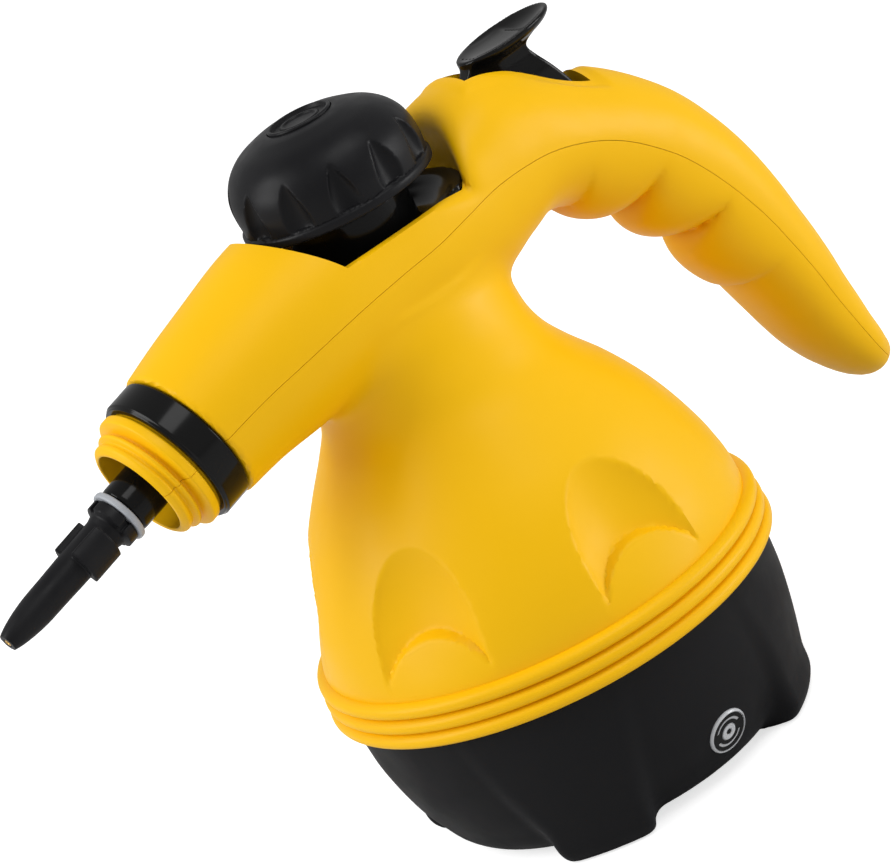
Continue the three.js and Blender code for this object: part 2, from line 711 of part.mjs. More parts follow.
// Six bolts through both flanges
const boltCount = 6;
const boltInset = 3.5;
const boltCircle = flangeRadius - boltInset;
const boltHeadRadius = 2.6;
const boltHeadHeight = 2.2;
const boltSeat = upperFlangeLevel + flangeThickness + fitGap / 2;
const boltSites = Array.from({ length: boltCount }, (_, i) => {
  const angle = fullTurn * i / boltCount;
  return [boltCircle * Math.cos(angle), boltCircle * Math.sin(angle)];
});
const boltHoleRadius = shankRadius + fitGap / 2;
const boltHoles = rodsAt(boltSites, boltHoleRadius, flangeLevel - overrun, boltSeat + overrun, boltFacets);

// Filler neck
const neckRadius = 13;
const neckBore = 10.6;
const neckFlangeRadius = 16;
const neckFlangeThickness = 2;
const neckTail = 3;
const neckRise = 11;
const neckTop = archHeight + neckRise;
const neckFoot = boilerTop + fitGap;
const neckProfile = [
  [neckBore, boilerTop - neckTail], [neckRadius, boilerTop - neckTail], [neckRadius, neckFoot],
  [neckFlangeRadius, neckFoot], [neckFlangeRadius, neckFoot + neckFlangeThickness],
  [neckRadius, neckFoot + neckFlangeThickness], [neckRadius, neckTop], [neckBore, neckTop],
  [neckBore, boilerTop - neckTail],
];

// Outer points of a boiler half, and inner points one wall nearer the axis and the middle
function boilerPoints(shares, start, reach, inwards) {
  const outer = shares.map(([r, h]) => [r * boilerRadius, start + h * reach]);
  const inner = outer.map(([radius, height]) => (
    [radius > 0 ? radius - boilerWall : 0, height + inwards * boilerWall]));
  return [outer, inner.reverse()];
}

function makeLowerBoiler() {
  const [outer, inner] = boilerPoints(boilerBottomShares, boilerBottom, boilerDepth, 1);
  const top = flangeLevel + flangeThickness;
  const rimPoints = [
    [boilerRadius, flangeLevel], [flangeRadius, flangeLevel], [flangeRadius, top], [boilerInner, top],
  ];
  return cut(turnedSolid([...outer, ...rimPoints, ...inner], boilerFacets), boltHoles);
}

function makeUpperBoiler() {
  const [outer, inner] = boilerPoints(boilerTopShares, upperFlangeLevel, boilerRise, -1);
  const top = upperFlangeLevel + flangeThickness;
  const hole = neckRadius + fitGap;
  const profile = [
    [boilerInner, upperFlangeLevel], [flangeRadius, upperFlangeLevel], [flangeRadius, top],
    [boilerRadius, top], ...outer, [hole, boilerTop], [hole, boilerTop - boilerWall], ...inner,
    [boilerInner, upperFlangeLevel],
  ];
  return cut(turnedSolid(profile, boilerFacets), boltHoles);
}

function makeMountingRing() {
  const top = ringLevel + ringThickness;
  const bridge = block(flangeRadius - wall, postCircle, -postRadius, postRadius, ringLevel, top);
  const solids = [
    tube(boilerRadius + fitGap, flangeRadius, ringLevel, top, boilerFacets),
    ...postRods(postRadius, ringLevel, top),
    ...footAngles.map((angle) => bridge.rotate([0, 0, angle / degree])),
  ];
  const holes = postRods(shankRadius + screwClearance, ringLevel - overrun, ringLevel + overrun);
  return cut(union(...solids), holes);
}

// Heater ring clipped under the boiler, thermostat and thermal fuse
const heaterInset = 14;
const heaterCircle = boilerRadius - heaterInset;
const heaterRadius = 3.4;
const heaterGapAngle = 24 * degree;
const heaterPinRadius = 1.4;
const heaterPinLength = 6;
const heaterStops = 16;
const heaterSteps = 20;
const heaterLevel = boilerBottom - heaterRadius - fitGap;
const thermostatRadius = 8.5;
const thermostatHeight = 7;
const thermostatTop = boilerBottom - fitGap;
const fuseRadius = 2.2;
const fuseLength = 13;
const fuseX = -boilerRadius - fuseRadius - fitGap;

function makeHeater() {
  const points = Array.from({ length: heaterStops + 1 }, (_, i) => {
    const angle = heaterGapAngle / 2 + (fullTurn - heaterGapAngle) * i / heaterStops;
    return aroundPot(heaterCircle, angle, heaterLevel);
  });
  const pinSites = [points[1], points[heaterStops - 1]].map(({ x, y }) => [x, y]);
  const pinFoot = heaterLevel - heaterRadius - heaterPinLength;
  const pins = rodsAt(pinSites, heaterPinRadius, pinFoot, heaterLevel, holeFacets);
  return union(hose(points, heaterRadius, heaterSteps), ...pins);
}

// Filler well: a black flared liner round the neck
const linerWall = 1.8;
const linerFloor = slotFloor;
const linerLip = 0.8;
const linerRise = wellFloor - linerFloor;
const linerRadius = wellRadius - fitGap;
const linerBore = neckRadius + fitGap;
const linerShares = [[0.42, 0], [0.66, 0.12], [0.88, 0.72], [1, 1]];
const linerRoom = archSolid(wall + 2 * fitGap, archHollowFacets, plainStations.slice(0, -1), false);

function makeLiner() {
  const under = linerShares.map(([r, h]) => [r * linerRadius, linerFloor + h * linerRise]);
  const lift = ([radius, height]) => [radius - linerWall / 2, height + linerWall];
  const over = under.slice(0, -1).reverse().map(lift);
  const profile = [
    [linerBore, linerFloor], ...under, [linerRadius, wellFloor + linerLip], ...over,
    [linerBore, linerFloor + linerWall], [linerBore, linerFloor],
  ];
  return turnedSolid(profile, capFacets).intersect(linerRoom);
}

// Safety cap: plug, seal, sliding shell with flutes, badge, spring and relief valve
const plugRadius = neckBore - fitGap;
const plugDepth = 17;
const plugFoot = neckTop - plugDepth;
const plugHeadRadius = 16.4;
const plugHeadThickness = 2.6;
const sealHeight = 1.2;
const capSealFoot = neckTop + fitGap;
const plugHead = capSealFoot + sealHeight + fitGap;
const plugShoulder = plugHead + plugHeadThickness;
const hubRadius = 15.6;
const hubRise = 15;
const hubTop = neckTop + hubRise;
const capLift = 6.3;
const capRim = neckTop + capLift;
const capHeight = 25.8;
const capRadius = 29.6;
const capWall = 2.2;
const capPress = 3;
const skirtWall = 1.6;
const badgeRadius = 10.6;
const badgeThickness = 1;
const badgeRim = 1.2;
const capTop = capRim + capHeight;
const badgeFloor = capTop - badgeThickness;
const capRoof = badgeFloor - capWall;
const capShares = [
  [0.985, 0], [1, 0.06], [0.968, 0.12], [0.972, 0.36], [0.93, 0.56], [0.85, 0.72], [0.72, 0.855],
  [0.56, 0.945],
];
const capInnerShares = [[0.5, 0.86], [0.78, 0.6], [0.88, 0.35], [0.89, 0]];

// Flutes: slim cones laid into the cap's side, wide at the foot
const fluteCount = 14;
const fluteRadius = 3.3;
const fluteTipRadius = 0.5;
const fluteFacets = 6;
const fluteShares = [[1.04, 0.12], [0.93, 0.64]];

function makeFlutes() {
  const onCap = ([r, h]) => new THREE.Vector3(r * capRadius, 0, capRim + h * capHeight);
  const [low, high] = fluteShares.map(onCap);
  const along = high.clone().sub(low);
  const coneAxis = new THREE.Vector3(0, 1, 0);
  const lean = new THREE.Quaternion().setFromUnitVectors(coneAxis, along.clone().normalize());
  const middle = low.clone().add(high).divideScalar(2);
  return Array.from({ length: fluteCount }, (_, i) => {
    const cone = new THREE.CylinderGeometry(fluteTipRadius, fluteRadius, along.length(), fluteFacets);
    cone.applyQuaternion(lean).translate(middle.x, middle.y, middle.z).rotateZ(fullTurn * i / fluteCount);
    return solid(cone);
  });
}

function makeCapShell() {
  const onCap = ([r, h]) => [r * capRadius, capRim + h * capHeight];
  const seat = badgeRadius + fitGap;
  const profile = [
    [0, capRoof], ...capInnerShares.map(onCap), ...capShares.map(onCap), [seat + badgeRim, capTop],
    [seat, capTop], [seat, badgeFloor - fitGap], [0, badgeFloor - fitGap],
  ];
  const skirtInner = hubRadius + fitGap;
  const skirtFoot = plugShoulder + capPress + fitGap;
  const skirt = tube(skirtInner, skirtInner + skirtWall, skirtFoot, capRoof + capWall / 2, capFacets);
  return cut(union(turnedSolid(profile, capFacets), skirt), makeFlutes());
}

// Relief valve in the plug: poppet, spring and the ring that holds the spring
const reliefBore = 5;
const reliefPort = 2;
const reliefDepth = 4;
const reliefSeat = neckTop - reliefDepth;
const poppetRadius = reliefBore - fitGap;
const poppetHeight = 4;
const poppetStem = 1.6;
const poppetFoot = reliefSeat + fitGap;
const poppetShoulder = poppetFoot + poppetHeight;
const poppetTop = poppetShoulder + poppetHeight;
const retainerThickness = 1.6;
const retainerLevel = hubTop - retainerThickness - fitGap;
const plugProfile = [
  [reliefPort, plugFoot], [plugRadius, plugFoot], [plugRadius, plugHead], [plugHeadRadius, plugHead],
  [plugHeadRadius, plugShoulder], [hubRadius, plugShoulder], [hubRadius, hubTop], [reliefBore, hubTop],
  [reliefBore, reliefSeat], [reliefPort, reliefSeat], [reliefPort, plugFoot],
];
const poppetProfile = [
  [0, poppetFoot], [poppetRadius, poppetFoot], [poppetRadius, poppetShoulder],
  [poppetStem, poppetShoulder], [poppetStem, poppetTop], [0, poppetTop],
];

// Springs
const springWire = 0.6;
const fineWire = 0.3;
const capSpringRadius = 9;
const capSpringCurls = 4;
const reliefSpringRadius = 3.4;
const valveSpringRadius = 3.5;
const triggerSpringRadius = 4.1;
const fineSpringCurls = 5;
const triggerSpringCurls = 3;

// Trigger: a dished pad on a web that hangs into the slot from a cross pin at its front
const hingeRise = 19;
const hinge = { x: 50, z: archHeight + hingeRise };
const pinRadius = 1.5;
const pinBore = pinRadius + fitGap / 2;
const bossRadius = 3.8;
const triggerReach = 38;
const triggerRise = 16;
const triggerHalfWidth = 7.4;
const padReach = 20.7;
const padRise = 12.2;
const padHalfLength = 16.6;
const padHalfWidth = 11.1;
const padTilt = 3.6 * degree;
const padUnder = 4;
const padFacets = 20;
const earWall = 2.6;
const earReach = 4.2;
const earRise = 8.4;
const webShares = [
  [-0.06, 0.1], [0.03, 0.22], [0.24, 0.34], [0.3, 0.45], [0.24, 0.64], [0.66, 0.66], [0.6, 0.394],
  [0.64, 0.08], [0.69, -0.27], [0.717, -0.625], [0.7, -1.0], [0.5, -1.0], [0.3, -0.375], [0, -0.22],
];
const padShares = [[0.5, -1], [0.85, -0.55], [1, -0.22], [1, 0], [0.93, 0], [0.6, -0.4], [0.2, -0.54]];
const pinHalfLength = slotHalfWidth + earWall + fitGap;

function crossRod(radius, halfLength, facets) {
  return rod(radius, -halfLength, halfLength, facets).rotate([90, 0, 0]).translate(hinge.x, 0, hinge.z);
}

function makePad() {
  const rings = padShares.map(([scale, height]) => Array.from({ length: padFacets }, (_, i) => {
    const angle = fullTurn * i / padFacets;
    const along = scale * padHalfLength * Math.cos(angle);
    const across = scale * padHalfWidth * Math.sin(angle);
    return new THREE.Vector3(along, across, height * padUnder);
  }));
  return solid(loft(rings).rotateY(-padTilt).translate(hinge.x + padReach, 0, hinge.z + padRise));
}

function makeTrigger() {
  const web = webShares.map(([x, z]) => [hinge.x + x * triggerReach, hinge.z + z * triggerRise]);
  const boss = crossRod(bossRadius, triggerHalfWidth, shaftFacets);
  const bore = crossRod(pinBore, slotHalfWidth, holeFacets);
  return union(slab(web, triggerHalfWidth), makePad(), boss).subtract(bore);
}

function makeEars() {
  const near = slotHalfWidth + fitGap;
  const [front, back] = [hinge.x - earReach, hinge.x + earReach];
  const [low, high] = [hinge.z - earReach, hinge.z + earRise];
  const left = block(front, back, near, near + earWall, low, high);
  const right = block(front, back, -near - earWall, -near, low, high);
  return union(left, right).intersect(underSkin);
}

// Steam valve under the trigger's foot, with its pin, seat spring and return spring
const valveShare = 0.61;
const valveX = hinge.x + valveShare * triggerReach;
const valveRadius = 7.5;
const valveHeight = 17;
const valveBore = 5;
const valveDrop = 3;
const valveTop = archHeight - valveDrop;
const valvePinRadius = 2;
const valveHeadRadius = 4.5;
const valveHeadHeight = 1.8;
const valveFoot = valveTop - valveHeight;
const valveFloor = valveFoot + wall;
const valveRoof = valveTop - wall;
const valvePinTop = hinge.z - triggerRise - fitGap;
const valvePinHead = valvePinTop - valveHeadHeight;
const pistonHeight = 1.6;
const pistonTop = valveRoof - fitGap;
const pistonFoot = pistonTop - pistonHeight;
const pistonRadius = valveBore - fitGap;
const guideRadius = valvePinRadius + fitGap;
const valveProfile = [
  [0, valveFoot], [valveRadius, valveFoot], [valveRadius, valveTop], [guideRadius, valveTop],
  [guideRadius, valveRoof], [valveBore, valveRoof], [valveBore, valveFloor], [0, valveFloor],
];
const pistonProfile = [
  [0, pistonFoot], [pistonRadius, pistonFoot], [pistonRadius, pistonTop], [valvePinRadius, pistonTop],
  [valvePinRadius, valvePinHead], [valveHeadRadius, valvePinHead], [valveHeadRadius, valvePinTop],
  [0, valvePinTop],
];

// Steam pipes from the boiler to the valve and from the valve round the neck to the nose
const pipeRadius = 2.4;
const pipeSide = 15.4;
const pipeBend = 1.2;
const feedSteps = 12;
const deliverySteps = 20;
const feedRise = 18.3;
const feedDrop = 15.9;
const feedReach = 27;
const feedX = neckFlangeRadius + 2 * pipeRadius;
const feedLevel = valveFoot + 2 * pipeRadius;
const feedEnd = valveX - valveRadius - fitGap;
const feedPoints = [
  [feedX, 0, boilerTop + fitGap], [feedX, 0, boilerTop + feedRise], [feedX, 0, feedLevel - feedDrop],
  [valveX - feedReach, 0, feedLevel], [feedEnd, 0, feedLevel],
].map((point) => new THREE.Vector3(...point));
const deliveryDrop = 8.6;
const deliveryReach = 30;
const deliverySide = 12.3;
const deliveryLevel = archHeight - deliveryDrop;
const deliveryExit = valveRadius + 2 * fitGap;
const outletRear = new THREE.Vector3(0, 0, outletStart - fitGap).applyMatrix4(noseFrame);
const outletEntry = new THREE.Vector3(0, pipeBend, outletStart - fitGap - 4 * pipeRadius)
  .applyMatrix4(noseFrame);
const deliveryPoints = [
  ...[
    [valveX, deliveryExit, deliveryLevel], [valveX, valveRadius + pipeRadius, deliveryLevel],
    [valveX - pipeRadius, valveRadius + 3 * pipeRadius, deliveryLevel],
    [valveX - deliveryReach, pipeSide, deliveryLevel],
    [0, pipeSide + pipeBend, deliveryLevel], [-2 * neckRadius, deliverySide, deliveryLevel - pipeBend],
  ].map((point) => new THREE.Vector3(...point)),
  outletEntry, outletRear,
];

// Housing screws from inside the bell into posts of the upper half
const screwX = 32;
const screwSide = 9;
const housingShank = 1.4;
const tabDrop = 15;
const tabThickness = 4;
const tabTop = archHeight - tabDrop;
const tabFoot = tabTop - tabThickness;
const tabHalf = 3.4;
const tabReach = 41;
const pillarFront = 36.5;
const pillarDrop = 9;
const pillarFoot = tabFoot - pillarDrop;
const screwPostRise = 18;
const screwPostTop = tabTop + screwPostRise;
const screwTop = screwPostTop - fitGap;
const cradleDepth = 9.6;
const screwSites = [[screwX, screwSide], [screwX, -screwSide]];

function makeLowerBosses() {
  const webEnd = bellFootRadius - wall;
  const web = block(postCircle, webEnd, -wall / 2, wall / 2, housingPostFoot, housingPostTop);
  const cradle = block(valveX - valveRadius, valveX + valveRadius, -valveRadius, valveRadius,
    valveFoot - cradleDepth, valveFoot - fitGap);
  const solids = [
    ...postRods(postRadius, housingPostFoot, housingPostTop), cradle,
    ...footAngles.map((angle) => web.rotate([0, 0, angle / degree])),
  ];
  for (const [x, y] of screwSites) {
    solids.push(block(x - tabHalf, tabReach, y - tabHalf, y + tabHalf, tabFoot, tabTop));
    solids.push(block(pillarFront, tabReach, y - tabHalf, y + tabHalf, pillarFoot, tabTop));
  }
  return union(...solids).intersect(rawOutside);
}

function makeLowerHousing() {
  const whole = union(skin.subtract(seamSlab(-1)), makeLowerBosses().subtract(seamSlab(-1)));
  const pilots = postRods(shankRadius + fitGap / 2, 0, pilotTop);
  const tabHole = housingShank + fitGap;
  const tabHoles = rodsAt(screwSites, tabHole, tabFoot - overrun, tabTop + overrun, holeFacets);
  return cut(whole, [...pilots, ...tabHoles]);
}

function makeUpperHousing() {
  const posts = rodsAt(screwSites, tabHalf - fitGap, tabTop + fitGap, screwPostTop, holeFacets);
  const wellWall = tube(wellRadius, wellRadius + wall, linerFloor, wellFloor + headRoom, potFacets);
  const inside = union(...posts, wellWall).intersect(underSkin);
  const open = cut(union(skin, inside).intersect(seamSlab(1)), [wellCut, slotCut]);
  const screwHoles = rodsAt(screwSites, housingShank + fitGap / 2, tabTop, screwTop + fitGap, holeFacets);
  const pinHole = crossRod(pinBore, slotHalfWidth + 2 * earWall, holeFacets);
  return cut(union(open, makeEars()), [pinHole, ...screwHoles]);
}

// Terminal block on the floor of the base
const terminalShare = 0.415;
const terminalX = terminalShare * baseRadius;
const terminalLength = 12;
const terminalHalfWidth = 8;
const terminalHeight = 8;
const terminalFoot = floorLevel + wall + fitGap;
const glandEnd = glandSeat + glandFlangeThickness;
const glandStart = glandSeat - wall - glandInside;
const glandProfile = [
  [glandBore, glandStart], [glandRadius, glandStart], [glandRadius, glandSeat], [glandFlange, glandSeat],
  [glandFlange, glandEnd], [glandRadius, glandEnd], [glandRadius - glandTaper, glandEnd + glandNose],
  [glandBore, glandEnd + glandNose], [glandBore, glandStart],
];

// Everything put together
add('lower_housing', makeLowerHousing(), yellowPlastic);
add('upper_housing', makeUpperHousing(), yellowPlastic);
add('base_shell', makeBase(), blackPlastic);
add('nozzle_collar', onNose(turnedSolid(collarProfile, boilerFacets)), glossBlack);
add('outlet_tube', onNose(turnedSolid(outletProfile, noseFacets)), glossBlack);
const nozzleSeal = tube(outletSpigot + fitGap, sealRadius, sealFoot, spigotEnd, noseFacets);
add('nozzle_seal', onNose(nozzleSeal), greyRubber);
add('jet_nozzle', onNose(makeJet()), blackPlastic);
const nozzleTip = tube(tipBore, tipRadius, jetEnd - tipLength + fitGap, jetEnd, holeFacets);
add('nozzle_tip', onNose(nozzleTip), turnedBrass);

const gasket = tube(boilerInner, flangeRadius, gasketLevel, gasketLevel + gasketThickness, boilerFacets);
add('boiler_lower', makeLowerBoiler(), castAluminium);
add('boiler_upper', makeUpperBoiler(), castAluminium);
add('boiler_gasket', cut(gasket, boltHoles), redSilicone);
add('mounting_ring', makeMountingRing(), plainSteel);
add('filler_neck', turnedSolid(neckProfile, noseFacets), castAluminium);
boltSites.forEach(([x, y], i) => {
  const shank = rod(shankRadius, flangeLevel + fitGap, boltSeat + boltHeadHeight / 2, boltFacets);
  const head = rod(boltHeadRadius, boltSeat, boltSeat + boltHeadHeight, boltFacets);
  add(`boiler_bolt_${i + 1}`, union(shank, head).translate(x, y, 0), plainSteel);
});
add('heating_element', makeHeater(), plainSteel);
add('thermostat', rod(thermostatRadius, thermostatTop - thermostatHeight, thermostatTop), whiteNylon);
add('thermal_fuse', rod(fuseRadius, -fuseLength, 0, holeFacets).translate(fuseX, 0, 0), silverWrap);

add('well_liner', makeLiner(), blackPlastic);
add('cap_plug', turnedSolid(plugProfile, noseFacets), blackPlastic);
const capSeal = tube(neckBore + fitGap, linerBore, capSealFoot, capSealFoot + sealHeight, noseFacets);
add('cap_seal', capSeal, redSilicone);
add('cap_shell', makeCapShell(), blackPlastic);
add('cap_badge', rod(badgeRadius, badgeFloor, capTop - fitGap, capFacets), blackPlastic);
const capSpring = coil(capSpringRadius, springWire, hubTop + fitGap, capRoof - fitGap, capSpringCurls);
add('cap_spring', capSpring, plainSteel);
add('relief_poppet', turnedSolid(poppetProfile, shaftFacets), redSilicone);
const retainerTop = retainerLevel + retainerThickness;
const retainer = tube(poppetStem + fitGap, poppetRadius, retainerLevel, retainerTop, shaftFacets);
add('relief_retainer', retainer, plainSteel);
const reliefSpringFoot = poppetShoulder + fitGap;
const reliefSpringTop = retainerLevel - fitGap;
const reliefSpring = coil(reliefSpringRadius, fineWire, reliefSpringFoot, reliefSpringTop, fineSpringCurls);
add('relief_spring', reliefSpring, plainSteel);

add('trigger', makeTrigger(), glossBlack);
add('trigger_pin', crossRod(pinRadius, pinHalfLength, holeFacets), plainSteel);
add('steam_valve', turnedSolid(valveProfile, shaftFacets).translate(valveX, 0, 0), turnedBrass);
add('valve_pin', turnedSolid(pistonProfile, shaftFacets).translate(valveX, 0, 0), plainSteel);
const valveSpringFoot = valveFloor + fitGap;
const valveSpringTop = pistonFoot - fitGap;
const valveSpring = coil(valveSpringRadius, fineWire, valveSpringFoot, valveSpringTop, fineSpringCurls);
add('valve_spring', valveSpring.translate(valveX, 0, 0), plainSteel);
const springTop = valvePinHead - fitGap;
const triggerSpring = coil(triggerSpringRadius, fineWire, valveTop + fitGap, springTop, triggerSpringCurls);
add('trigger_spring', triggerSpring.translate(valveX, 0, 0), plainSteel);
add('steam_feed_pipe', hose(feedPoints, pipeRadius, feedSteps), plainSteel);
add('steam_delivery_pipe', hose(deliveryPoints, pipeRadius, deliverySteps), plainSteel);

const baseSeat = counterboreTop - fitGap;
postSites.forEach((site, i) => {
  add(`base_screw_${i + 1}`, screw(site, baseSeat, pilotTop - fitGap, shankRadius), plainSteel);
});
const tabSeat = tabFoot - fitGap;
screwSites.forEach((site, i) => {
  add(`housing_screw_${i + 1}`, screw(site, tabSeat, screwTop, housingShank), plainSteel);
});
const lens = rod(lensRadius, -lensThickness + fitGap, lensProud, noseFacets);
add('indicator_lens', atLens(lens), clearPlastic);
add('indicator_lamp', atLens(rod(lampRadius, -lensThickness - lampLength, -lensThickness)), whiteNylon);
add('cord_gland', atGland(turnedSolid(glandProfile, shaftFacets)), blackRubber);
const terminalEnd = terminalX + terminalLength;
const terminalTop = terminalFoot + terminalHeight;
const terminal = block(
  terminalX, terminalEnd, -terminalHalfWidth, terminalHalfWidth, terminalFoot, terminalTop);
add('terminal_block', terminal, whiteNylon);

// Stand it on the floor, with the origin under the middle
group.position.set(0, 0, potDepth);
group.updateMatrixWorld(true);
const bounds = new THREE.Box3().setFromObject(group);
group.position.x = -(bounds.min.x + bounds.max.x) / 2;

export default group;
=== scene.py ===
"""Looks for a handheld steam cleaner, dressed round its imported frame.

The moulded parts are drawn as fields: a field is negative inside the plastic, and a net of quads is
stretched over the surface where it is zero. Turned parts are profiles spun round their axis.
Shapes are drawn in millimetres from the pot's axis and the rim plane, where the yellow housing
meets the black base, with the nose towards -X and the grip towards +X.
"""
import math

import bpy
import numpy as np
from mathutils import Matrix, Vector


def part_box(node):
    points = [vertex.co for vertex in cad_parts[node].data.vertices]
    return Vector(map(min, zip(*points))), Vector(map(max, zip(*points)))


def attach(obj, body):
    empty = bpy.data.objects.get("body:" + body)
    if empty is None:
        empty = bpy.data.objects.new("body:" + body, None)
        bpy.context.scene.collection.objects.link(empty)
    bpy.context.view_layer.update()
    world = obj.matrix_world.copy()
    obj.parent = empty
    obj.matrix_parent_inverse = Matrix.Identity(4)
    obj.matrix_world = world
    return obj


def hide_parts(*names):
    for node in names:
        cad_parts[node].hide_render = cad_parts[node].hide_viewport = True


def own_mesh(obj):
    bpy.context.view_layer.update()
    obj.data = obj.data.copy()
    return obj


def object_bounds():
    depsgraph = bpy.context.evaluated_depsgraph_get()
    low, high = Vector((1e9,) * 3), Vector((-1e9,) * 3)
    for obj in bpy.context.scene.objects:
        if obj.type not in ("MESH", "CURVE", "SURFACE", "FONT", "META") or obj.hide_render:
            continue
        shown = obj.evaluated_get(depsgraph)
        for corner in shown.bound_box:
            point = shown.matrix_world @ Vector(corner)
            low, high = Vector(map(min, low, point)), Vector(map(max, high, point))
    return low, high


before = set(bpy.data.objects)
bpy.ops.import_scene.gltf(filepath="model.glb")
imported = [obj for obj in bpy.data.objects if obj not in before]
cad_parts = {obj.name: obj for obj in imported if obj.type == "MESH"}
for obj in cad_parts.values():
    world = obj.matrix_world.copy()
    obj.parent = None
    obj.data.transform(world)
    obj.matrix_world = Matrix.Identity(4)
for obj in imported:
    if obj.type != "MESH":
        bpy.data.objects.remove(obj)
cad_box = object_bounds()

# Where the pot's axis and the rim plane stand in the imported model, in millimetres
MM = 0.001
POT_DEPTH = 51.0
gasket_low, gasket_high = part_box("boiler_gasket")
POT_AXIS = (gasket_low.x + gasket_high.x) / 2 / MM
RIM_MIDDLE = np.array([POT_AXIS, 0.0, POT_DEPTH])

# The plastic's thickness, the gap between pieces that meet, and the rounding of turned edges
WALL = 2.4
FIT = 0.3
EDGE = 0.3

# Numbers along curves, and fields

TINY = 1e-6


def smooth_line(knots, values, at):
    """Values between knots, on a curve that passes through them all without corners."""
    knots, values = np.asarray(knots, float), np.asarray(values, float)
    slopes = np.gradient(values, knots)
    at = np.clip(at, knots[0], knots[-1])
    i = np.clip(np.searchsorted(knots, at, side="right") - 1, 0, len(knots) - 2)
    span = knots[i + 1] - knots[i]
    t = (at - knots[i]) / span
    start = values[i] * (1 + 2 * t) + slopes[i] * span * t
    end = values[i + 1] * (3 - 2 * t) - slopes[i + 1] * span * (1 - t)
    return start * (1 - t) ** 2 + end * t * t


def smooth_step(low, high, value):
    """0 below the low value, 1 above the high one, and an even rise between them."""
    t = np.clip((value - low) / (high - low), 0, 1)
    return t * t * (3 - 2 * t)


def either(a, b, blend):
    """The union of two fields, with a fillet as wide as the blend where they meet."""
    share = np.clip(0.5 + (b - a) / (2 * blend), 0, 1)
    return b + (a - b) * share - blend * share * (1 - share)


def both(a, b, blend):
    """What two fields share, with rounded edges where they meet."""
    return -either(-a, -b, blend)


def without(a, b, blend):
    """The first field with the second taken away, with rounded edges."""
    return both(a, -b, blend)


def outline_field(outline, u, v):
    """Distance to a closed outline of points, negative inside it."""
    points = np.asarray(outline, float)
    nearest = np.full(np.broadcast(u, v).shape, np.inf)
    inside = np.zeros(nearest.shape, bool)
    for (au, av), (bu, bv) in zip(points, np.roll(points, -1, axis=0)):
        du, dv = bu - au, bv - av
        length = du * du + dv * dv
        if length == 0:
            continue
        t = np.clip(((u - au) * du + (v - av) * dv) / length, 0, 1)
        nearest = np.minimum(nearest, (u - au - t * du) ** 2 + (v - av - t * dv) ** 2)
        crosses = (av > v) != (bv > v)
        if dv:
            inside ^= crosses & (u < au + (v - av) * du / dv)
    return np.where(inside, -1, 1) * np.sqrt(nearest)


def smooth_path(points, step):
    """Points every step along a curve without corners through the given points."""
    points = np.asarray(points, float)
    run = np.concatenate([[0], np.cumsum(np.hypot(*np.diff(points, axis=0).T))])
    at = np.linspace(0, run[-1], max(2, int(run[-1] / step)))
    return list(zip(smooth_line(run, points[:, 0], at), smooth_line(run, points[:, 1], at)))


def soften(outline, radius, closed=True, steps=4):
    """The outline with every corner rounded off, as far as its neighbours leave room."""
    points = [np.asarray(point, float) for point in outline]
    count = len(points)
    result = []
    for i, point in enumerate(points):
        if not closed and i in (0, count - 1):
            result.append(point)
            continue
        before, after = points[i - 1] - point, points[(i + 1) % count] - point
        reach = min(radius, np.linalg.norm(before) / 2, np.linalg.norm(after) / 2)
        if reach < TINY:
            result.append(point)
            continue
        start = point + before / np.linalg.norm(before) * reach
        end = point + after / np.linalg.norm(after) * reach
        for step in range(steps + 1):
            t = step / steps
            result.append((1 - t) ** 2 * start + 2 * t * (1 - t) * point + t * t * end)
    return result


# Meshes


def in_frame(points):
    """Points of the shared frame, in metres, from millimetres round the pot."""
    return (np.asarray(points, float) + RIM_MIDDLE) * MM


def new_piece(name, points, faces):
    """A mesh object from points in millimetres round the pot."""
    mesh = bpy.data.meshes.new(name)
    mesh.from_pydata(in_frame(points).tolist(), [], [list(map(int, face)) for face in faces])
    mesh.validate()
    piece = bpy.data.objects.new(name, mesh)
    bpy.context.scene.collection.objects.link(piece)
    return piece


SLIDES = 3
FLATTEST_SLOPE = 0.2


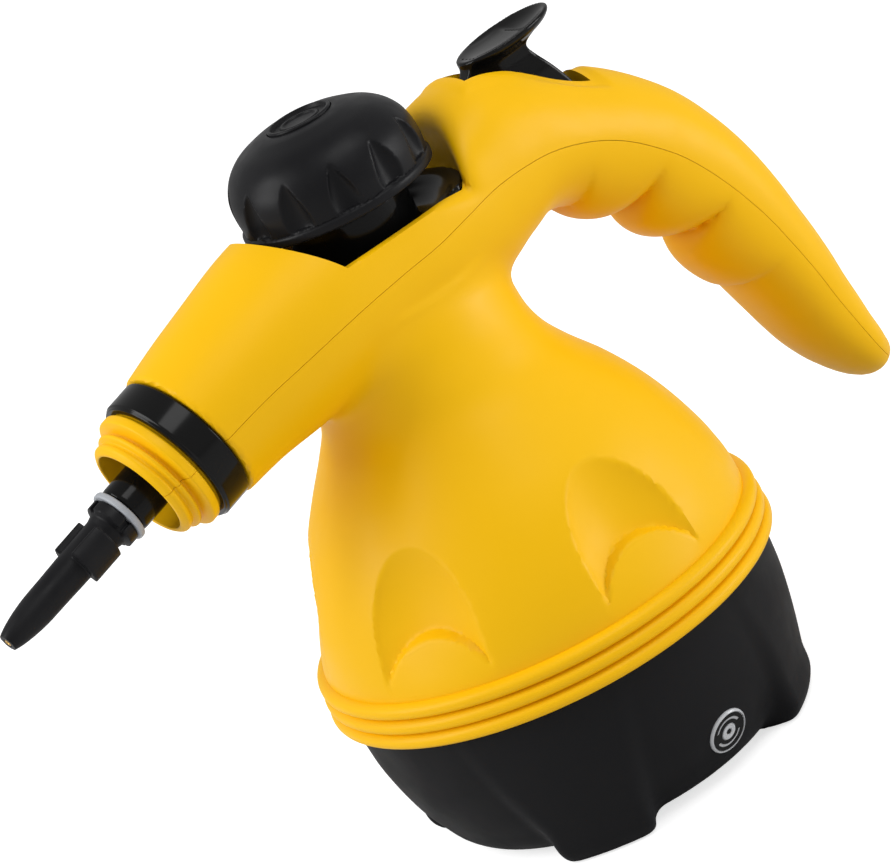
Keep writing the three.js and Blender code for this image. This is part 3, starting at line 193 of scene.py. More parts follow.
def net(name, field, low, high, pitch, turn=None):
    """A closed net of quads over the surface where the field is zero.

    Each cell of a grid that the surface crosses gets one point, and the points then slide along
    the field's slope until they lie on the surface."""
    x, y, z = (np.arange(a, b + pitch, pitch) for a, b in zip(low, high))
    values = field(x[:, None, None], y[None, :, None], z[None, None, :])
    inside = values < 0
    cells = tuple(n - 1 for n in inside.shape)
    total = np.zeros(cells + (3,))
    hits = np.zeros(cells)
    edges = []
    for axis in range(3):
        one = [slice(None)] * 3
        two = [slice(None)] * 3
        one[axis], two[axis] = slice(0, -1), slice(1, None)
        one, two = tuple(one), tuple(two)
        i, j, k = np.nonzero(inside[one] != inside[two])
        a, b = values[one][i, j, k], values[two][i, j, k]
        place = np.stack([i, j, k], 1).astype(float)
        place[:, axis] += a / (a - b)
        others = [n for n in range(3) if n != axis]
        around = []
        for first, second in ((0, 0), (1, 0), (1, 1), (0, 1)):
            cell = np.stack([i, j, k], 1)
            cell[:, others[0]] -= first
            cell[:, others[1]] -= second
            around.append(cell)
            np.add.at(total, tuple(cell.T), place)
            np.add.at(hits, tuple(cell.T), 1)
        edges.append((around, inside[one][i, j, k] ^ (axis == 1)))
    used = np.nonzero(hits)
    number = np.full(cells, -1)
    number[used] = np.arange(len(used[0]))
    points = np.array(low) + total[used] / hits[used][:, None] * pitch
    faces = []
    for around, outward in edges:
        quads = np.stack([number[tuple(cell.T)] for cell in around], 1)
        quads[~outward] = quads[~outward][:, ::-1]
        faces.append(quads)
    step = pitch / 10
    for _ in range(SLIDES):
        here = field(*points.T)
        slope = np.stack([
            (field(*(points + push).T) - field(*(points - push).T)) / (2 * step)
            for push in np.eye(3) * step], 1)
        steep = np.maximum((slope ** 2).sum(1), FLATTEST_SLOPE)
        points -= np.clip(here / steep, -pitch / 2, pitch / 2)[:, None] * slope
    return new_piece(name, place_by(turn, points), np.concatenate(faces))


def lathe(name, profile, segments=128, turn=None):
    """A closed profile of [radius, height] pairs spun round +Z, then placed by a 4x4 frame."""
    profile = [(max(radius, 0.0), height) for radius, height in profile]
    points, rows = [], []
    for radius, height in profile:
        if radius < TINY:
            rows.append([len(points)] * segments)
            points.append((0.0, 0.0, height))
            continue
        start = len(points)
        for i in range(segments):
            angle = math.tau * i / segments
            points.append((radius * math.cos(angle), radius * math.sin(angle), height))
        rows.append(list(range(start, start + segments)))
    faces = []
    for lower, upper in zip(rows, rows[1:] + rows[:1]):
        for i in range(segments):
            j = (i + 1) % segments
            corners = list(dict.fromkeys([lower[i], lower[j], upper[j], upper[i]]))
            if len(corners) > 2:
                faces.append(corners)
    piece = new_piece(name, place_by(turn, points), faces)
    face_outwards(piece)
    return piece


def place_by(turn, points):
    """The points as the 4x4 frame places them."""
    if turn is None:
        return points
    points = np.asarray(points, float)
    return points @ turn[:3, :3].T + turn[:3, 3]


def face_outwards(piece):
    """Turns a closed mesh right side out."""
    mesh = piece.data
    mesh.calc_loop_triangles()
    volume = 0.0
    corners = [vertex.co for vertex in mesh.vertices]
    for triangle in mesh.loop_triangles:
        a, b, c = (corners[i] for i in triangle.vertices)
        volume += a.dot(b.cross(c))
    if volume < 0:
        mesh.flip_normals()


def prism(name, outline, half_width):
    """A flat outline of [x, z] pairs, as wide as given across Y."""
    count = len(outline)
    points = [(x, side * half_width, z) for side in (-1, 1) for x, z in outline]
    faces = [list(range(count)), list(range(2 * count - 1, count - 1, -1))]
    for i in range(count):
        j = (i + 1) % count
        faces.append([i, i + count, j + count, j])
    piece = new_piece(name, points, faces)
    face_outwards(piece)
    return piece


def rod(name, radius, low, high, segments=48, turn=None):
    """A plain round bar, for joining to other pieces or cutting them."""
    return lathe(name, [(0, low), (radius, low), (radius, high), (0, high)], segments, turn)


def box_outline(front, back, low, high):
    """The four corners of an upright rectangle."""
    return [(front, low), (back, low), (back, high), (front, high)]


def at(*steps):
    """One 4x4 frame from moves and turns, the outermost first."""
    placed = Matrix.Identity(4)
    for step in steps:
        placed = placed @ step
    return np.array(placed)


def finish_modifiers(piece):
    """Bakes what the piece's modifiers make into its mesh."""
    graph = bpy.context.evaluated_depsgraph_get()
    graph.update()
    made = bpy.data.meshes.new_from_object(piece.evaluated_get(graph), depsgraph=graph)
    piece.modifiers.clear()
    piece.data = made


def join(piece, tool, operation):
    """Adds, cuts or keeps what is shared with another closed piece, which is used up."""
    modifier = piece.modifiers.new("join", "BOOLEAN")
    modifier.operation = operation
    modifier.solver = "MANIFOLD"
    modifier.object = tool
    finish_modifiers(piece)
    bpy.data.objects.remove(tool)
    return piece


def copy_of(piece, name):
    """A second piece with a mesh of its own."""
    twin = bpy.data.objects.new(name, piece.data.copy())
    bpy.context.scene.collection.objects.link(twin)
    return twin


def smooth(piece, sharp_angle=32):
    """Soft shading, with a crease wherever the surface turns more sharply than the angle."""
    piece.data.shade_smooth()
    piece.data.set_sharp_from_angle(angle=math.radians(sharp_angle))
    return piece


def dress(piece, name, material, body, nodes=()):
    """Names a finished piece, gives it its finish and its body, and hides the CAD nodes it stands for."""
    piece.name = name
    piece.data.name = name
    piece.data.materials.clear()
    piece.data.materials.append(material)
    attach(piece, body)
    if nodes:
        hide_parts(*nodes)


# Finishes


class Finish:
    """A plastic, rubber or metal with clouds of a second colour, worn patches and a fine grain."""

    CLOUD_DETAIL, GRAIN_DETAIL = 4.0, 2.0
    MIDDLE_FROM, MIDDLE_TO = 0.35, 0.65

    def __init__(self, name, colour, roughness, metallic=0.0, **sockets):
        """A plain material, with further sockets of its shader named with low lines for blanks."""
        self.material = bpy.data.materials.new(name)
        self.material.use_nodes = True
        self.nodes = self.material.node_tree.nodes
        self.links = self.material.node_tree.links
        self.shader = self.nodes["Principled BSDF"]
        self.shader.inputs["Base Color"].default_value = (*colour, 1)
        self.shader.inputs["Roughness"].default_value = roughness
        self.shader.inputs["Metallic"].default_value = metallic
        for socket, value in sockets.items():
            self.shader.inputs[socket.replace("_", " ")].default_value = value
        self.place = self.nodes.new("ShaderNodeTexCoord").outputs["Object"]

    def noise(self, scale, detail):
        """A cloud of noise that stays with the piece."""
        noise = self.nodes.new("ShaderNodeTexNoise")
        noise.inputs["Scale"].default_value = scale
        noise.inputs["Detail"].default_value = detail
        self.links.new(self.place, noise.inputs["Vector"])
        return noise.outputs["Fac"]

    def clouds(self, scale, low, high):
        """Soft clouds, whose middle range runs between two numbers."""
        ramp = self.nodes.new("ShaderNodeMapRange")
        ramp.inputs["From Min"].default_value = self.MIDDLE_FROM
        ramp.inputs["From Max"].default_value = self.MIDDLE_TO
        ramp.inputs["To Min"].default_value = low
        ramp.inputs["To Max"].default_value = high
        self.links.new(self.noise(scale, self.CLOUD_DETAIL), ramp.inputs["Value"])
        return ramp.outputs["Result"]

    def mottle(self, scale, colour):
        """Clouds of a second colour."""
        mix = self.nodes.new("ShaderNodeMix")
        mix.data_type = "RGBA"
        mix.inputs["A"].default_value = self.shader.inputs["Base Color"].default_value
        mix.inputs["B"].default_value = (*colour, 1)
        self.links.new(self.clouds(scale, 0, 1), mix.inputs["Factor"])
        self.links.new(mix.outputs["Result"], self.shader.inputs["Base Color"])
        return self

    def patchy(self, scale, low, high):
        """Roughness that wanders between two numbers."""
        self.links.new(self.clouds(scale, low, high), self.shader.inputs["Roughness"])
        return self

    def grain(self, scale, depth):
        """Fine relief, as deep as given in millimetres."""
        bump = self.nodes.new("ShaderNodeBump")
        bump.inputs["Distance"].default_value = depth * MM
        self.links.new(self.noise(scale, self.GRAIN_DETAIL), bump.inputs["Height"])
        self.links.new(bump.outputs["Normal"], self.shader.inputs["Normal"])
        return self


yellow_plastic = Finish(
    "yellow_plastic", (0.90, 0.50, 0.0015), 0.42, IOR=1.5, Specular_IOR_Level=0.16).mottle(
    6, (0.87, 0.475, 0.0014)).patchy(90, 0.38, 0.47).grain(1900, 0.012).material
matte_black = Finish(
    "matte_black_plastic", (0.008, 0.008, 0.009), 0.5, IOR=1.5, Specular_IOR_Level=0.1).mottle(
    9, (0.0095, 0.0095, 0.0105)).patchy(70, 0.46, 0.56).grain(2400, 0.014).material
cap_black = Finish(
    "cap_black_plastic", (0.007, 0.007, 0.008), 0.36, IOR=1.5, Specular_IOR_Level=0.12).mottle(
    40, (0.0095, 0.0095, 0.0105)).patchy(160, 0.32, 0.42).grain(1700, 0.01).material
gloss_black = Finish(
    "gloss_black_plastic", (0.004, 0.004, 0.004), 0.13, IOR=1.5, Specular_IOR_Level=0.16).mottle(
    20, (0.005, 0.005, 0.005)).patchy(60, 0.1, 0.17).grain(500, 0.004).material
nozzle_black = Finish(
    "nozzle_black_plastic", (0.007, 0.007, 0.008), 0.38, IOR=1.5, Specular_IOR_Level=0.12).mottle(
    60, (0.011, 0.011, 0.012)).patchy(200, 0.33, 0.45).grain(2600, 0.012).material
grey_rubber = Finish("grey_silicone_rubber", (0.40, 0.42, 0.45), 0.45).mottle(
    90, (0.34, 0.36, 0.39)).patchy(150, 0.4, 0.52).grain(2000, 0.01).material
black_rubber = Finish("black_rubber", (0.015, 0.015, 0.015), 0.7).mottle(
    60, (0.02, 0.02, 0.02)).patchy(120, 0.62, 0.78).grain(1500, 0.03).material
red_silicone = Finish("red_silicone", (0.33, 0.035, 0.018), 0.55).mottle(
    60, (0.27, 0.03, 0.016)).patchy(100, 0.5, 0.62).grain(1200, 0.02).material
cast_aluminium = Finish("cast_aluminium", (0.50, 0.505, 0.51), 0.42, 1.0).mottle(
    50, (0.44, 0.445, 0.45)).patchy(120, 0.36, 0.52).grain(700, 0.05).material
plain_steel = Finish("plain_steel", (0.46, 0.465, 0.475), 0.28, 1.0).mottle(
    70, (0.40, 0.405, 0.41)).patchy(200, 0.22, 0.36).grain(900, 0.01).material
turned_brass = Finish("turned_brass", (0.66, 0.42, 0.13), 0.25, 1.0).mottle(
    90, (0.58, 0.36, 0.10)).patchy(220, 0.2, 0.34).grain(1400, 0.01).material
white_nylon = Finish("white_nylon", (0.72, 0.71, 0.66), 0.48).mottle(
    40, (0.66, 0.65, 0.60)).patchy(90, 0.42, 0.54).grain(1200, 0.01).material
silver_wrap = Finish("silver_wrap", (0.52, 0.53, 0.54), 0.4, 0.6).mottle(
    80, (0.45, 0.46, 0.47)).patchy(140, 0.34, 0.48).grain(900, 0.02).material
clear_lens = Finish("clear_lens", (0.58, 0.59, 0.61), 0.2, IOR=1.49).mottle(
    120, (0.50, 0.51, 0.53)).patchy(160, 0.15, 0.25).grain(900, 0.004).material

# Geometry Nodes: one item on every site, and coil springs


def new_tree(name, inputs):
    """An empty node tree with a geometry input and output and the named inputs."""
    tree = bpy.data.node_groups.new(name, "GeometryNodeTree")
    tree.is_modifier = True
    tree.interface.new_socket("Geometry", in_out="OUTPUT", socket_type="NodeSocketGeometry")
    tree.interface.new_socket("Geometry", in_out="INPUT", socket_type="NodeSocketGeometry")
    for label, kind in inputs:
        tree.interface.new_socket(label, in_out="INPUT", socket_type="NodeSocket" + kind)
    return tree, tree.nodes.new("NodeGroupInput"), tree.nodes.new("NodeGroupOutput")


def make_site_tree():
    """Puts the item on every vertex of the piece."""
    tree, given, result = new_tree("one_on_each_site", [("Item", "Object"), ("Finish", "Material")])
    item = tree.nodes.new("GeometryNodeObjectInfo")
    place = tree.nodes.new("GeometryNodeInstanceOnPoints")
    real = tree.nodes.new("GeometryNodeRealizeInstances")
    finish = tree.nodes.new("GeometryNodeSetMaterial")
    link = tree.links.new
    link(given.outputs["Item"], item.inputs["Object"])
    link(given.outputs["Geometry"], place.inputs["Points"])
    link(item.outputs["Geometry"], place.inputs["Instance"])
    link(place.outputs["Instances"], real.inputs["Geometry"])
    link(real.outputs["Geometry"], finish.inputs["Geometry"])
    link(given.outputs["Finish"], finish.inputs["Material"])
    link(finish.outputs["Geometry"], result.inputs["Geometry"])
    return tree


STEPS_PER_TURN, WIRE_SIDES = 28, 12


def make_coil_tree():
    """Winds a coil of round wire upwards from the foot."""
    tree, given, result = new_tree("coil_spring", [
        ("Radius", "Float"), ("Wire Radius", "Float"), ("Height", "Float"), ("Turns", "Float"),
        ("Foot", "Vector"), ("Finish", "Material")])
    spiral = tree.nodes.new("GeometryNodeCurveSpiral")
    spiral.inputs["Resolution"].default_value = STEPS_PER_TURN
    wire = tree.nodes.new("GeometryNodeCurvePrimitiveCircle")
    wire.inputs["Resolution"].default_value = WIRE_SIDES
    sweep = tree.nodes.new("GeometryNodeCurveToMesh")
    sweep.inputs["Fill Caps"].default_value = True
    move = tree.nodes.new("GeometryNodeTransform")
    real = tree.nodes.new("GeometryNodeRealizeInstances")
    finish = tree.nodes.new("GeometryNodeSetMaterial")
    link = tree.links.new
    link(given.outputs["Radius"], spiral.inputs["Start Radius"])
    link(given.outputs["Radius"], spiral.inputs["End Radius"])
    link(given.outputs["Height"], spiral.inputs["Height"])
    link(given.outputs["Turns"], spiral.inputs["Rotations"])
    link(given.outputs["Wire Radius"], wire.inputs["Radius"])
    link(spiral.outputs["Curve"], sweep.inputs["Curve"])
    link(wire.outputs["Curve"], sweep.inputs["Profile Curve"])
    link(sweep.outputs["Mesh"], move.inputs["Geometry"])
    link(given.outputs["Foot"], move.inputs["Translation"])
    link(move.outputs["Geometry"], real.inputs["Geometry"])
    link(real.outputs["Geometry"], finish.inputs["Geometry"])
    link(given.outputs["Finish"], finish.inputs["Material"])
    link(finish.outputs["Geometry"], result.inputs["Geometry"])
    return tree


SITE_TREE, COIL_TREE = make_site_tree(), make_coil_tree()


def grow(piece, tree, **values):
    """Runs a tree on a piece and keeps the mesh that it makes."""
    modifier = piece.modifiers.new(tree.name, "NODES")
    modifier.node_group = tree
    for socket in tree.interface.items_tree:
        label = socket.name.replace(" ", "_")
        if socket.in_out == "INPUT" and label in values:
            modifier[socket.identifier] = values[label]
    finish_modifiers(piece)
    return piece


def on_each_site(name, sites, item, finish):
    """Copies of the item, which is drawn round the pot's axis, moved to each of the sites."""
    piece = new_piece(name, sites, [])
    piece.data.transform(Matrix.Translation(-Vector(in_frame((0, 0, 0)))))
    grow(piece, SITE_TREE, Item=item, Finish=finish)
    bpy.data.objects.remove(item)
    return piece


def spring(name, node, wire, turns, body, joint, travel):
    """A steel coil in the place of a CAD spring."""
    low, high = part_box(node)
    radius = (high.x - low.x) / 2 - wire * MM
    foot = Vector(((low.x + high.x) / 2, (low.y + high.y) / 2, low.z + wire * MM))
    piece = new_piece(name, [(0, 0, 0)], [])
    grow(piece, COIL_TREE, Radius=radius, Wire_Radius=wire * MM, Height=high.z - low.z - 2 * wire * MM,
         Turns=float(turns), Foot=foot, Finish=plain_steel)
    dress(smooth(piece, sharp_angle=60), name, plain_steel, body, [node])
    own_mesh(piece)


# The bell, the arch over it, and the shell that they make

ARCH_HEIGHT, BELL_HEIGHT = 124.0, 108.0
NOSE_REACH, GRIP_REACH = 75.2, 134.0
ARCH_HALF_WIDTH, ARCH_HALF_HEIGHT = 29.3, 28.0
NOSE_TILT = math.radians(14)
BELL_FOOT = 67.9

# The bell: rows of height, reach towards the nose, reach towards the grip and half width
BELL_SHARES = np.array([
    [-0.10, 0.998, 0.998, 0.998], [0.128, 0.998, 0.998, 0.998], [0.165, 0.992, 0.995, 0.995],
    [0.205, 0.979, 0.988, 0.986], [0.24, 0.965, 0.975, 0.974], [0.273, 0.949, 0.962, 0.961],
    [0.333, 0.914, 0.93, 0.93], [0.389, 0.872, 0.895, 0.895], [0.45, 0.821, 0.85, 0.85],
    [0.505, 0.77, 0.802, 0.802], [0.575, 0.696, 0.73, 0.73], [0.676, 0.58, 0.605, 0.622],
    [0.741, 0.522, 0.54, 0.55], [0.806, 0.505, 0.505, 0.5], [0.87, 0.525, 0.5, 0.455],
    [0.935, 0.59, 0.505, 0.425], [1.0, 0.66, 0.52, 0.395]])

# The arch: rows of reach, height, half width, half height above and below the spine, and
# squareness above and below
ARCH_SHARES = np.array([
    [-1.0, 0.878, 0.78, 0.815, 0.81, 2, 2], [-0.8, 0.909, 0.855, 0.88, 0.855, 2, 2],
    [-0.6, 0.932, 0.925, 0.96, 0.915, 2, 2], [-0.44, 0.95, 0.975, 1.015, 0.96, 2, 2],
    [-0.29, 0.964, 0.999, 1.04, 0.985, 2, 2], [-0.1, 0.976, 1.0, 1.04, 1.0, 2.05, 2.05],
    [0.06, 0.986, 0.99, 1.01, 1.0, 2.1, 2.1], [0.149, 1.0, 0.956, 0.95, 1.0, 2.15, 2.15],
    [0.246, 1.012, 0.893, 0.87, 1.0, 2.3, 2.3], [0.336, 1.01, 0.84, 0.97, 0.85, 2.2, 2.4],
    [0.41, 1.0, 0.795, 0.93, 0.73, 2.0, 2.3], [0.485, 0.976, 0.754, 0.84, 0.68, 1.85, 2.2],
    [0.552, 0.944, 0.72, 0.795, 0.68, 1.75, 2.2], [0.612, 0.903, 0.7, 0.785, 0.665, 1.8, 2.2],
    [0.664, 0.855, 0.689, 0.78, 0.66, 1.9, 2.2], [0.716, 0.797, 0.683, 0.765, 0.64, 2.0, 2.2],
    [0.757, 0.735, 0.683, 0.735, 0.625, 2.1, 2.2], [0.791, 0.673, 0.683, 0.7, 0.605, 2.2, 2.2],
    [0.821, 0.609, 0.68, 0.66, 0.59, 2.2, 2.2], [0.847, 0.544, 0.68, 0.61, 0.57, 2.2, 2.2],
    [0.869, 0.476, 0.675, 0.565, 0.557, 2.2, 2.2], [0.89, 0.407, 0.665, 0.53, 0.545, 2.2, 2.2],
    [0.909, 0.339, 0.65, 0.49, 0.525, 2.2, 2.2], [0.927, 0.27, 0.62, 0.445, 0.5, 2.2, 2.2],
    [0.948, 0.202, 0.585, 0.4, 0.47, 2.2, 2.2], [0.972, 0.133, 0.535, 0.34, 0.4, 2.2, 2.2],
    [1.0, 0.0685, 0.45, 0.29, 0.3, 2.2, 2.2], [1.034, 0.02, 0.3, 0.22, 0.2, 2.1, 2.1]])

# Thumb scallops round the bell, each with a half moon at its foot
SCALLOP_ANGLES = np.radians([88, 150])
SCALLOP_HALF = math.radians(15.5)
SCALLOP_TOP, SCALLOP_WIDE, SCALLOP_DEPTH, SCALLOP_FULLNESS = 54.5, 32.0, 6.4, 0.8
MOON_FOOT, MOON_TOP, MOON_DEPTH, MOON_EDGE = 15.0, 30.0, 2.8, 0.7

# Finger lobes under the grip, with a notch between each two
LOBE_COUNT, LOBE_PITCH, LOBE_START, LOBE_DEPTH, LOBE_ROUNDNESS = 3, 27.0, 162.0, 4.3, 0.55
NOTCH_DEPTH, NOTCH_WIDTH = 4.8, 0.15

NECK_FILLET, GRIP_ROUNDING, NOSE_ROUNDING = 5.0, 4.0, 1.0
SPINE_STEP = 0.5

reach, height = ARCH_SHARES[:, 0], ARCH_SHARES[:, 1]
station_x = reach * np.where(reach < 0, NOSE_REACH, GRIP_REACH)
station_z = height * ARCH_HEIGHT
station_run = np.concatenate([[0], np.cumsum(np.hypot(np.diff(station_x), np.diff(station_z)))])
spine_run = np.arange(0, station_run[-1], SPINE_STEP)
spine_x = smooth_line(station_run, station_x, spine_run)
spine_z = smooth_line(station_run, station_z, spine_run)
spine_slope = np.arctan2(np.gradient(spine_z), np.gradient(spine_x))
arch_side, arch_up, arch_down = (
    smooth_line(station_run, column, spine_run) for column in (
        ARCH_SHARES[:, 2] * ARCH_HALF_WIDTH, ARCH_SHARES[:, 3] * ARCH_HALF_HEIGHT,
        ARCH_SHARES[:, 4] * ARCH_HALF_HEIGHT))
power_above, power_below = (smooth_line(station_run, ARCH_SHARES[:, i], spine_run) for i in (5, 6))
lobe_place = (spine_run - LOBE_START) / LOBE_PITCH
lobe_nearest = np.clip(np.round(lobe_place), 0, LOBE_COUNT - 1)
lobe_across = np.clip(lobe_place - lobe_nearest, -0.5, 0.5)
arch_down += LOBE_DEPTH * np.cos(math.pi * lobe_across) ** LOBE_ROUNDNESS
for notch in range(LOBE_COUNT - 1):
    arch_down -= NOTCH_DEPTH * np.exp(-np.abs(lobe_place - notch - 0.5) / NOTCH_WIDTH)


POINTS_AT_ONCE = 20000


def on_spine(x, z):
    """The number of the nearest point of the spine, the way past it, and the height above it."""
    x, z = np.broadcast_arrays(x, z)
    flat_x, flat_z = x.ravel(), z.ravel()
    nearest = np.empty(flat_x.size, int)
    for start in range(0, flat_x.size, POINTS_AT_ONCE):
        part = slice(start, start + POINTS_AT_ONCE)
        away = (flat_x[part, None] - spine_x) ** 2 + (flat_z[part, None] - spine_z) ** 2
        nearest[part] = away.argmin(1)
    across_x, across_z = flat_x - spine_x[nearest], flat_z - spine_z[nearest]
    slope = spine_slope[nearest]
    past = across_x * np.cos(slope) + across_z * np.sin(slope)
    above = across_z * np.cos(slope) - across_x * np.sin(slope)
    return tuple(array.reshape(x.shape) for array in (nearest, past, above))


def along_spine(table, number, past):
    """A value that changes along the spine, read just past one of its points."""
    return np.interp(spine_run[number] + past, spine_run, table)


NOSE_ROOT = np.array([station_x[0], 0.0, station_z[0]])
NOSE_OUT = np.array([-math.cos(NOSE_TILT), 0.0, -math.sin(NOSE_TILT)])
GRIP_END = np.array([spine_x[-1], 0.0, spine_z[-1]])
GRIP_OUT = np.array([math.cos(spine_slope[-1]), 0.0, math.sin(spine_slope[-1])])
# The least share of the way out from the middle that a field is divided by, and a depth past any piece
NEAR_MIDDLE, DEEP = 1e-3, 1e3


def arch_field(x, y, z):
    """The nose and the grip, swept along the spine as one tube of changing section."""
    number, past, above = on_spine(x, z)
    side = along_spine(arch_side, number, past)
    tall = np.where(above > 0, along_spine(arch_up, number, past), along_spine(arch_down, number, past))
    power = np.where(
        above > 0, along_spine(power_above, number, past), along_spine(power_below, number, past))
    share = ((np.abs(y) / side) ** power + (np.abs(above) / tall) ** power) ** (1 / power)
    distance = np.hypot(y, above)
    body = distance * (1 - 1 / np.maximum(share, NEAR_MIDDLE))
    nose = (x - NOSE_ROOT[0]) * NOSE_OUT[0] + (z - NOSE_ROOT[2]) * NOSE_OUT[2]
    grip = (x - GRIP_END[0]) * GRIP_OUT[0] + (z - GRIP_END[2]) * GRIP_OUT[2]
    grip = np.where(x > GRIP_REACH / 2, grip, -np.inf)
    body = both(body, np.maximum(grip, -DEEP), GRIP_ROUNDING)
    return both(body, nose, NOSE_ROUNDING)


def scallop_drop(z, angle):
    """How deep a thumb scallop, or the half moon at its foot, lies under the bell's surface."""
    away = np.abs(np.abs(angle)[..., None] - SCALLOP_ANGLES).min(-1)
    rise = np.clip((z - SCALLOP_WIDE) / (SCALLOP_TOP - SCALLOP_WIDE), 0, 1)
    narrow = np.sqrt(np.maximum(1 - rise ** 2, TINY))
    across = np.minimum(away / (SCALLOP_HALF * narrow), 1)
    arc = np.sqrt(1 - across ** 2)
    moon_height = MOON_FOOT + (MOON_TOP - MOON_FOOT) * arc
    moon = MOON_DEPTH * arc * np.clip((z - MOON_FOOT) / (MOON_TOP - MOON_FOOT), 0, 1)
    scallop = SCALLOP_DEPTH * (1 - across ** 2) ** SCALLOP_FULLNESS * (1 - rise ** 2)
    share = smooth_step(moon_height - MOON_EDGE, moon_height + MOON_EDGE, z)
    return moon + (scallop - moon) * share


def bell_field(x, y, z):
    """The bell, whose section is two half ellipses back to back, with its scallops."""
    level = z / BELL_HEIGHT
    nose, grip, side = (
        smooth_line(BELL_SHARES[:, 0], BELL_SHARES[:, column], level) * BELL_FOOT
        for column in (1, 2, 3))
    along = np.where(x < 0, nose, grip)
    share = np.hypot(x / along, y / side)
    angle = np.arctan2(y / side, x / along)
    body = np.hypot(x, y) * (1 - 1 / np.maximum(share, NEAR_MIDDLE)) + scallop_drop(z, angle)
    return np.maximum(np.maximum(body, -z), z - BELL_HEIGHT)


# The trigger's slot: it opens upwards from its mouth to its back, under a roof towards the nose
SLOT_FRONT, SLOT_MOUTH, SLOT_BACK, SLOT_HALF, SLOT_FLOOR, SLOT_ROOF = 42.0, 48.0, 85.5, 9.0, 122.0, 147.3
EAR_WALL = 2.9
# The lips beside the slot: rows of reach and of height over the arch, or below it
LIP_WIDTH = 5.0
LIP_WAVE = np.array([[40, 0.2], [50, 1.1], [60, 0.7], [68, -0.5], [76, -1.6], [84, -1.5], [92, 0.0]])

# The filler's well: its edge is crisp towards the nose and grows soft on the way to the grip
WELL_RADIUS, WELL_FLOOR, HEAD_ROOM, WALL_FOOT = 34.0, 131.2, 40.0, 127.0
WELL_SOFT_FROM, WELL_SOFT_TO, WELL_CRISP, WELL_SOFT, WELL_SPARE = 8.0, 26.0, 0.3, 6.5, 3.0
WELL_SIDE_GAP, WELL_FLOOR_GAP = 0.1, 0.05


def housing_field(x, y, z):
    """The bell and the arch as one solid, with the lips of the slot."""
    body = either(bell_field(x, y, z), arch_field(x, y, z), NECK_FILLET)
    beyond = np.maximum(np.maximum(SLOT_MOUTH - x, x - SLOT_BACK), np.abs(y) - SLOT_HALF)
    fade = 1 - smooth_step(LIP_WIDTH / 3, LIP_WIDTH, beyond)
    lip = smooth_line(LIP_WAVE[:, 0], LIP_WAVE[:, 1], x) * fade
    return body - np.where(z > ARCH_HEIGHT, lip, 0)


def outer_field(x, y, z):
    """The housing with the filler well taken out, crisp at the nose and softly flared at the grip."""
    soft = WELL_CRISP + (WELL_SOFT - WELL_CRISP) * smooth_step(WELL_SOFT_FROM, WELL_SOFT_TO, x)
    spare = WELL_SPARE * (1 - smooth_step(-WELL_SOFT_FROM, WELL_SOFT_FROM, x))
    room = np.maximum(
        np.hypot(x, y) - WELL_RADIUS - WELL_SIDE_GAP + spare, WELL_FLOOR + WELL_FLOOR_GAP - z)
    return without(housing_field(x, y, z), room, soft)


def hollow_field(x, y, z):
    """The room inside the shell."""
    return housing_field(x, y, z) + WALL


HOUSING_LOW, HOUSING_HIGH = (-85, -71, -4), (150, 71, 158)
HOUSING_PITCH, HOLLOW_PITCH = 1.15, 2.6
housing = net("housing", outer_field, HOUSING_LOW, HOUSING_HIGH, HOUSING_PITCH)
hollow = net("hollow", hollow_field, HOUSING_LOW, HOUSING_HIGH, HOLLOW_PITCH)

# Ribs round the rim, each stepped in from the one below
POT_RADIUS, RIB_SWELL, RIB_STEP, RIB_PITCH, RIB_COUNT = 71.85, 2.3, 0.35, 4.75, 3
RIB_SQUARENESS, RIB_FULLNESS, RIB_STATIONS = 2.6, 0.8, 12
RIM_INNER = BELL_FOOT - WALL
rib_profile = [(RIM_INNER, 0.0)]
for rib in range(RIB_COUNT):
    foot = POT_RADIUS - RIB_SWELL - rib * RIB_STEP
    for station in range(RIB_STATIONS + 1):
        t = station / RIB_STATIONS
        bulge = (1 - abs(2 * t - 1) ** RIB_SQUARENESS) ** RIB_FULLNESS
        rib_profile.append((foot - RIB_STEP * t + RIB_SWELL * bulge, (rib + t) * RIB_PITCH))
rib_profile.append((RIM_INNER, RIB_COUNT * RIB_PITCH))
rim = lathe("rim", rib_profile, 192)

# The threaded barrel, measured outwards along the nose
nose_turn = np.eye(4)
nose_turn[:3, 2] = NOSE_OUT
nose_turn[:3, 1] = (0, 1, 0)
nose_turn[:3, 0] = np.cross(nose_turn[:3, 1], NOSE_OUT)
nose_turn[:3, 3] = NOSE_ROOT
BORE, JOURNAL, BARREL_ROOT, BARREL_END = 14.4, 19.2, -1.2, 21.8
SHOULDER, THREAD_ROOT, THREAD_CREST, MOUTH_LIP = 20.6, 16.6, 18.2, 17.0
BORE_DEPTH, BORE_OVERRUN = 8.0, 8.2
barrel = lathe("barrel", soften([
    (BORE, BARREL_ROOT), (JOURNAL, BARREL_ROOT), (JOURNAL, 10.7), (SHOULDER, 11.5), (SHOULDER, 14.2),
    (MOUTH_LIP, 15.2), (THREAD_ROOT, 16.0), (THREAD_CREST, 16.5), (THREAD_CREST, 17.6),
    (THREAD_ROOT, 18.2), (THREAD_ROOT, 18.9), (MOUTH_LIP, 19.4), (MOUTH_LIP, 20.6), (15.4, BARREL_END),
    (BORE, BARREL_END)], 0.55), 128, nose_turn)
bore = rod("bore", BORE, -BORE_DEPTH, BARREL_END + BORE_OVERRUN, 128, nose_turn)

